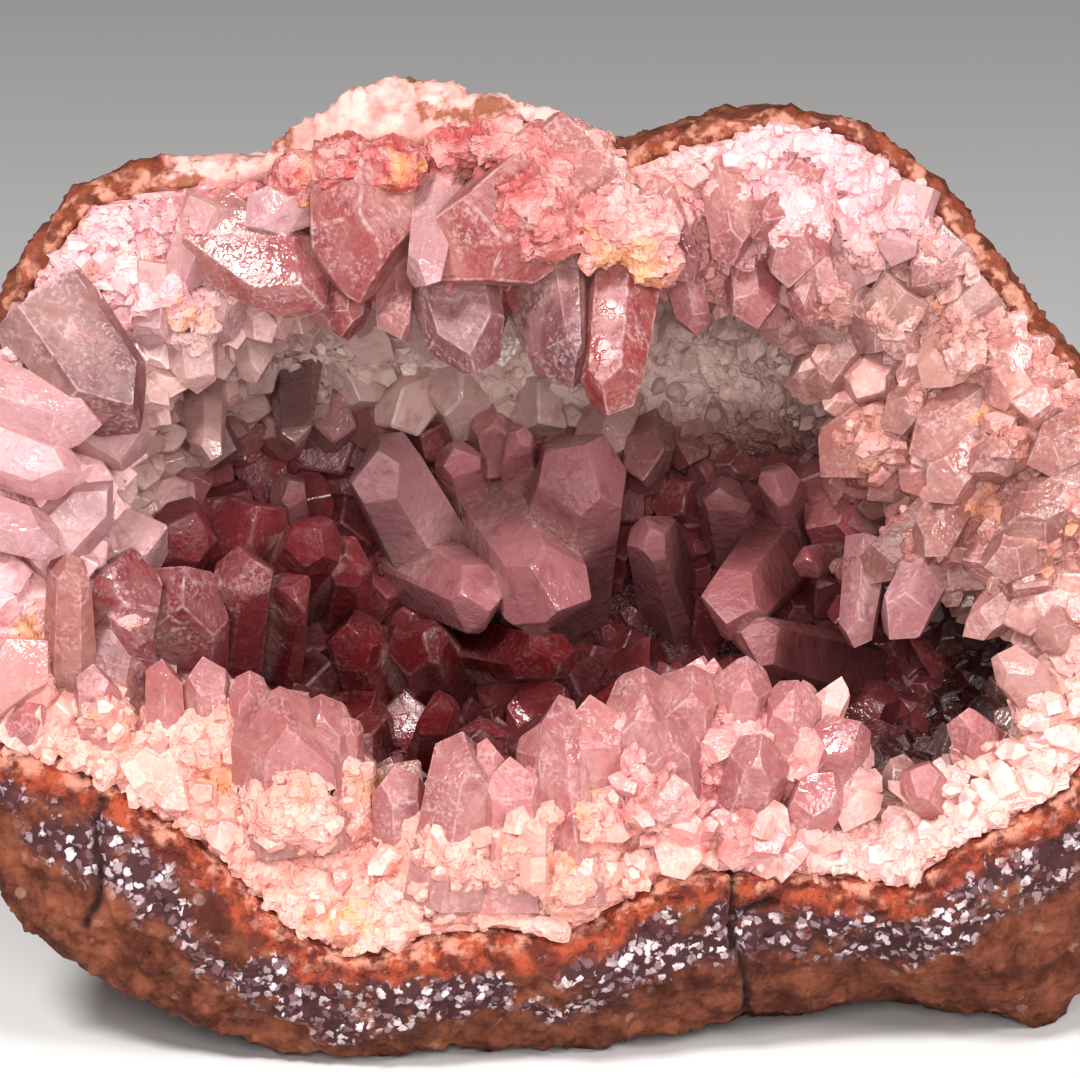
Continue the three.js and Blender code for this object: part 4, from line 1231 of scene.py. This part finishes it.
# %% White roots and painted edge highlights, as groups
ROOT_WHITE = (0.80, 0.46, 0.38)
# the colour of the painted highlights along the edges
EDGE_HIGHLIGHT = (0.88, 0.62, 0.60)


def white_root_group():
    """Whitens a colour towards the root."""
    group, given, put = new_group(
        "white root",
        {"Color": "Color", "Along": "Float", "Sugar": "Float", "Share": "Float"},
        {"Color": "Color"},
    )
    rise = times_plus(group, given["Sugar"], 0.5, given["Along"])
    share = times(group, ramp(group, rise, 0.75, 0.35), given["Share"])
    feed(group, put["Color"], mix_colour(group, share, given["Color"], ROOT_WHITE))
    return group


def edge_highlight_group():
    """Paints pale highlights along the edges, in patches."""
    group, given, put = new_group(
        "edge highlights",
        {"Color": "Color", "Edge": "Float", "Sugar": "Float", "Share": "Float"},
        {"Color": "Color"},
    )
    highlight_patches = ramp(group, given["Sugar"], 0.42, 0.62, 0.0, 0.45)
    share = times(group, given["Edge"], highlight_patches, given["Share"])
    feed(group, put["Color"], mix_colour(group, share, given["Color"], EDGE_HIGHLIGHT))
    return group


WHITE_ROOT, EDGE_HIGHLIGHTS = white_root_group(), edge_highlight_group()
print("groups so far:", [group.name for group in bpy.data.node_groups])

# %% [markdown]
# ### Frost and growth lines
# Much of the quartz is frosted: fine pale flecks gather in patches, and dull the shine
# there. And as a crystal grows, it leaves fine uneven lines across its sides. Both are too
# fine for the mesh, so the frost is a mask that colour and roughness share, and the lines
# are a height for the bump.

# %% Frost and growth lines, as groups
FROST_WHITE = (0.90, 0.66, 0.66)


def frost_group():
    """Adds frost to a colour. Frost is the mask, and Patches the slow change under it."""
    group, given, put = new_group(
        "frost", {"Place": "Vector", "Color": "Color", "Share": "Float"},
        {"Color": "Color", "Frost": "Float", "Patches": "Float"},
    )
    flecks = ramp(group, noise_node(group, given["Place"], 0.5, 2.0, 0.7), 0.46, 0.64)
    patches = noise_node(group, given["Place"], 3.0, 3.0)
    frost = times(group, flecks, ramp(group, patches, 0.42, 0.64, 0.05, 0.42), given["Share"])
    feed(group, put["Color"], mix_colour(group, frost, given["Color"], FROST_WHITE))
    feed(group, put["Frost"], frost)
    feed(group, put["Patches"], patches)
    return group


def growth_line_group():
    """Adds uneven lines that cross a crystal to a height."""
    group, given, put = new_group(
        "growth lines", {"Along": "Float", "Count": "Float", "Height": "Float"}, {"Height": "Float"}
    )
    lines = group.nodes.new("ShaderNodeTexNoise")
    lines.noise_dimensions = "1D"
    lines.inputs["Scale"].default_value = 1.0
    lines.inputs["Detail"].default_value = 3.0
    feed(group, lines.inputs["W"], times(group, given["Along"], given["Count"]))
    feed(group, put["Height"], times_plus(group, lines.outputs["Fac"], 1.2, given["Height"]))
    return group


FROST, GROWTH_LINES = frost_group(), growth_line_group()
print("all groups:", [group.name for group in bpy.data.node_groups])

# %% [markdown]
# ### Rose quartz
# A large point is clear enough to look into: part of the light goes through it and turns
# pinker on the way, which is what absorption in its volume does. The rest comes back from
# milky clouds inside. The groups add the root, the edges, the frost and the lines one
# after the other. Roughness differs from crystal to crystal, so some faces flash while
# their neighbours stay dull. The thousands of small crystals get the same finish without
# the clear part, as they are milky on the real piece and each hides the next.

# %% Quartz
QUARTZ_IOR = 1.54
MILK = (0.82, 0.50, 0.46)


def quartz_material(name, transmission, roughness, milk_share, root_share):
    """Milky rose quartz. All that is pale on it fades in the deep."""
    material, tree, surface = new_material(name)
    place = place_node(tree)
    along = attribute(tree, "along")
    near = ramp(tree, attribute(tree, "depth"), 18.0, 8.0)
    sugar = noise_node(tree, place, 1.2, 2.0)
    body = place_group(tree, MOTTLING, {
        "Place": place, "Tint": attribute(tree, "tint", "Color"), "Milk": MILK,
        "Milk Share": times(tree, near, milk_share), "Veil Share": 0.6,
    })
    rooted = place_group(tree, WHITE_ROOT, {
        "Color": body["Color"], "Along": along, "Sugar": sugar, "Share": times(tree, near, root_share),
    })
    # painted highlights along the bevelled edges, fainter in the deep
    edged = place_group(tree, EDGE_HIGHLIGHTS, {
        "Color": rooted["Color"], "Edge": attribute(tree, "edge"), "Sugar": sugar,
        "Share": times_plus(tree, near, 0.7, 0.2),
    })
    frosted = place_group(tree, FROST, {
        "Place": place, "Color": edged["Color"], "Share": times_plus(tree, near, 0.8, 0.2),
    })
    # each face has its own polish, and frost dulls it
    polish = times_plus(tree, attribute(tree, "polish"), 0.6, frosted["Patches"])
    dull = ramp(tree, polish, 0.5, 1.0, roughness, roughness + 0.4)
    lined = place_group(tree, GROWTH_LINES, {"Along": along, "Count": 9.0, "Height": body["Height"]})
    uneven = times_plus(tree, noise_node(tree, place, 2.4, 1.0), 3.0, lined["Height"])
    feed(tree, surface["Base Color"], frosted["Color"])
    feed(tree, surface["Roughness"], times_plus(tree, frosted["Frost"], 0.6, dull))
    feed(tree, surface["Normal"], bump(tree, uneven, 0.5, 0.10 * MM))
    surface["Transmission Weight"].default_value = transmission
    surface["IOR"].default_value = QUARTZ_IOR
    return material


def add_absorption(material, density, colour):
    """Light that crosses the quartz takes on its colour with depth."""
    tree = material.node_tree
    absorb = tree.nodes.new("ShaderNodeVolumeAbsorption")
    absorb.inputs["Color"].default_value = (*colour, 1.0)
    absorb.inputs["Density"].default_value = density
    feed(tree, tree.nodes["Material Output"].inputs["Volume"], absorb.outputs["Volume"])


rose_quartz = quartz_material("rose_quartz", 0.42, 0.08, 0.2, 0.25)
add_absorption(rose_quartz, 200.0, (0.95, 0.55, 0.54))
druse_quartz = quartz_material("druse_quartz", 0.0, 0.12, 0.25, 0.15)
grain_quartz = quartz_material("grain_quartz", 0.0, 0.22, 0.4, 0.1)
print("nodes in rose quartz:", len(rose_quartz.node_tree.nodes))

# %% [markdown]
# ### Crust
# The crust is a dull, sugary white that takes its tint from the area, with rust seams near
# the rim where water once ran. It is opaque, so colour and fine bump are enough.

# %% Crust
CRUST_MILK = (0.85, 0.56, 0.50)
SEAM_RUST = (0.72, 0.30, 0.12)


def crust_material():
    """Sugary quartz with rust seams. Milk and rust fade with depth."""
    material, tree, surface = new_material("quartz_crust")
    place = place_node(tree)
    near = ramp(tree, attribute(tree, "depth"), 16.0, 6.0)
    body = place_group(tree, MOTTLING, {
        "Place": place, "Tint": attribute(tree, "tint", "Color"), "Milk": CRUST_MILK,
        "Milk Share": times(tree, near, 0.45), "Veil Share": 0.7,
    })
    seams = ramp(tree, noise_node(tree, place, 7.0, 4.0, 0.65), 0.55, 0.68)
    rusty = mix_colour(tree, times(tree, seams, near, 0.75), body["Color"], SEAM_RUST)
    feed(tree, surface["Base Color"], rusty)
    feed(tree, surface["Normal"], bump(tree, body["Height"], 0.8, 0.25 * MM))
    surface["Roughness"].default_value = 0.42
    surface["Specular IOR Level"].default_value = 0.35
    return material


crust_quartz = crust_material()
print("nodes in the crust:", len(crust_quartz.node_tree.nodes))

# %% [markdown]
# ### Rock
# The broken rock changes with the distance from the quartz: rust-red at the contact, with
# pale stains, then a band of dark and pale grains, then plain brown. That distance was
# measured for every point of the mesh, so the bands follow the contact wherever it goes.
# The grains are the cells of a Voronoi pattern, stirred by noise so that none is round.
# The slab on top is weathered pale, and the cracks are painted dark, as shade in them.

# %% Rock
STONE = {  # each pair is mixed by noise
    "ground": ((0.065, 0.012, 0.005), (0.23, 0.066, 0.032)),
    "grains": ((0.16, 0.070, 0.085), (0.78, 0.62, 0.64)),
    "rust": ((0.10, 0.015, 0.009), (0.33, 0.055, 0.022)),
    "slab": ((0.74, 0.42, 0.37), (0.58, 0.24, 0.21)),
}
PALE_SPOT = (0.36, 0.20, 0.15)
BETWEEN_GRAINS = (0.055, 0.017, 0.019)
PALE_STAIN = (0.60, 0.26, 0.18)
SLAB_STAIN = (0.26, 0.085, 0.045)
# painted shade: the dark inside the cracks
CRACK_SHADE = (0.03, 0.01, 0.008)


def speckles(tree, place, size, share):
    """Specks of the given size in mm: a mask, and a number that differs from speck to speck."""
    cells = tree.nodes.new("ShaderNodeTexVoronoi")
    tree.links.new(place, cells.inputs["Vector"])
    cells.inputs["Scale"].default_value = 1 / (size * MM)
    split = tree.nodes.new("ShaderNodeSeparateColor")
    tree.links.new(cells.outputs["Color"], split.inputs["Color"])
    chosen = ramp(tree, split.outputs["Red"], 1 - share, 1 - share + 0.05)
    speck = ramp(tree, cells.outputs["Distance"], 0.62, 0.42)
    return times(tree, speck, chosen), split.outputs["Green"]


def stirred(tree, place, size, strength):
    """The place, pushed about by noise of the given size and strength in mm."""
    stir = tree.nodes.new("ShaderNodeTexNoise")
    tree.links.new(place, stir.inputs["Vector"])
    stir.inputs["Scale"].default_value = 1 / (size * MM)
    moved = tree.nodes.new("ShaderNodeVectorMath")
    moved.operation = "MULTIPLY_ADD"
    tree.links.new(stir.outputs["Color"], moved.inputs[0])
    moved.inputs[1].default_value = (strength * MM,) * 3
    tree.links.new(place, moved.inputs[2])
    return moved.outputs["Vector"]


def rock_material():
    """Brown volcanic rock with its rusty, grainy contact and its pale slab."""
    material, tree, surface = new_material("volcanic_rock")
    place = place_node(tree)
    low = attribute(tree, "low_face")
    # brown ground with a few pale spots
    clouds = ramp(tree, noise_node(tree, place, 5.0, 6.0, 0.7), 0.36, 0.66)
    brown = mix_colour(tree, clouds, *STONE["ground"])
    spots, _ = speckles(tree, place, 1.3, 0.05)
    spotted = mix_colour(tree, times(tree, spots, 0.5), brown, PALE_SPOT)
    # the band of grains, broken up in patches
    wobble = noise_node(tree, place, 4.0, 5.0, 0.6)
    distance = times_plus(tree, wobble, 7.0, attribute(tree, "from_quartz"))
    grains, kind = speckles(tree, stirred(tree, place, 0.9, 1.4), 1.0, 0.78)
    grain_colour = mix_colour(tree, ramp(tree, kind, 0.1, 1.0), *STONE["grains"])
    grainy = mix_colour(tree, grains, BETWEEN_GRAINS, grain_colour)
    patches = ramp(tree, noise_node(tree, place, 7.0, 6.0, 0.65), 0.40, 0.50)
    band = times(tree, ramp(tree, distance, 14.0, 11.5), low, patches)
    banded = mix_colour(tree, band, spotted, grainy)
    # rust at the contact, with pale stains
    clouds = ramp(tree, noise_node(tree, place, 2.2, 5.0, 0.65), 0.4, 0.62)
    rust = mix_colour(tree, clouds, *STONE["rust"])
    rusty = times(tree, ramp(tree, distance, 8.0, 6.4), ramp(tree, low, 0.0, 1.0, 0.45, 1.0))
    red = mix_colour(tree, rusty, banded, rust)
    blots = ramp(tree, noise_node(tree, place, 1.8, 4.0), 0.44, 0.60)
    stain = times(tree, ramp(tree, distance, 6.2, 4.6), blots, 0.8)
    stained = mix_colour(tree, stain, red, PALE_STAIN)
    # the slab on top, and painted shade in the cracks
    clouds = ramp(tree, noise_node(tree, place, 3.0, 6.0), 0.40, 0.62)
    pale = mix_colour(tree, clouds, *STONE["slab"])
    blots = ramp(tree, noise_node(tree, place, 5.0, 6.0, 0.6), 0.53, 0.62)
    slab = mix_colour(tree, blots, pale, SLAB_STAIN)
    topped = mix_colour(tree, attribute(tree, "slab"), stained, slab)
    cracked = mix_colour(tree, attribute(tree, "crack"), topped, CRACK_SHADE)
    height = maths(tree, "ADD", noise_node(tree, place, 0.6, 5.0, 0.7), times(tree, grains, band))
    feed(tree, surface["Base Color"], cracked)
    feed(tree, surface["Normal"], bump(tree, height, 0.7, 0.3 * MM))
    surface["Roughness"].default_value = 0.85
    surface["Specular IOR Level"].default_value = 0.25
    return material


volcanic_rock = rock_material()
print("nodes in the rock:", len(volcanic_rock.node_tree.nodes))

# %% [markdown]
# ### Which piece gets which finish
# Each piece rides on the geode's only body, and says which solids of the model it stands
# for, so that those are hidden.

# %% Give every piece its material
finish_piece(rock, volcanic_rock, "host_rock", "host_rock")
finish_piece(crust, crust_quartz, "quartz_lining", "quartz_lining")
finish_piece(collars, crust_quartz, "quartz_lining")
finish_piece(small, druse_quartz, "rose_crystal")
finish_piece(tiny, grain_quartz, "rose_crystal")
finish_piece(grains, druse_quartz, "rose_crystal")
for zone, piece in grown.items():
    stands_for = [n for n in sorted(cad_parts) if n.startswith(zone)]
    finish_piece(piece, rose_quartz, "rose_crystal", *stands_for)

# %% [markdown]
# ## Floor and light
# The piece rests on a plain pale floor that is large enough to have no edge in view. A soft
# light from the upper left gives the crystals their shine, a weaker one fills from the
# right, and one from the front reaches into the hollow. Round area lights are used,
# because a sun or a point would give hard shadows.

# %% Floor
FLOOR_HALF = 2.0  # metres
floor_corners = [(x * FLOOR_HALF, y * FLOOR_HALF, 0) for x, y in ((-1, -1), (1, -1), (1, 1), (-1, 1))]
floor = mesh_object("floor", floor_corners, [(0, 1, 2, 3)])
floor_material, _, floor_surface = new_material("floor")
floor_surface["Base Color"].default_value = (0.72, 0.71, 0.70, 1)
floor_surface["Roughness"].default_value = 0.9
floor.data.materials.append(floor_material)
print("floor side, m:", 2 * FLOOR_HALF)


# %% Lights
def soft_light(name, place, aim, size, power):
    """A round area light. Its size is in metres and its power in watts."""
    data = bpy.data.lights.new(name, "AREA")
    data.shape = "DISK"
    data.size = size
    data.energy = power
    light = bpy.data.objects.new(name, data)
    light.location = place
    light.rotation_euler = (Vector(aim) - Vector(place)).to_track_quat("-Z", "Y").to_euler()
    bpy.context.scene.collection.objects.link(light)
    print(name, "light at", place)


middle = Vector(from_mouth(0, 50, 10))
soft_light("key", (-0.28, -0.42, 0.58), middle, 0.18, 5.6)
soft_light("fill", (0.45, -0.40, 0.38), middle, 0.25, 3.5)
soft_light("front", (0.0, -0.75, 0.30), middle, 0.3, 3.9)
world = bpy.data.worlds.new("studio")
world.use_nodes = True
world.node_tree.nodes["Background"].inputs["Color"].default_value = (1, 1, 1, 1)
world.node_tree.nodes["Background"].inputs["Strength"].default_value = 0.08
bpy.context.scene.world = world
bpy.context.scene.view_settings.view_transform = "Standard"
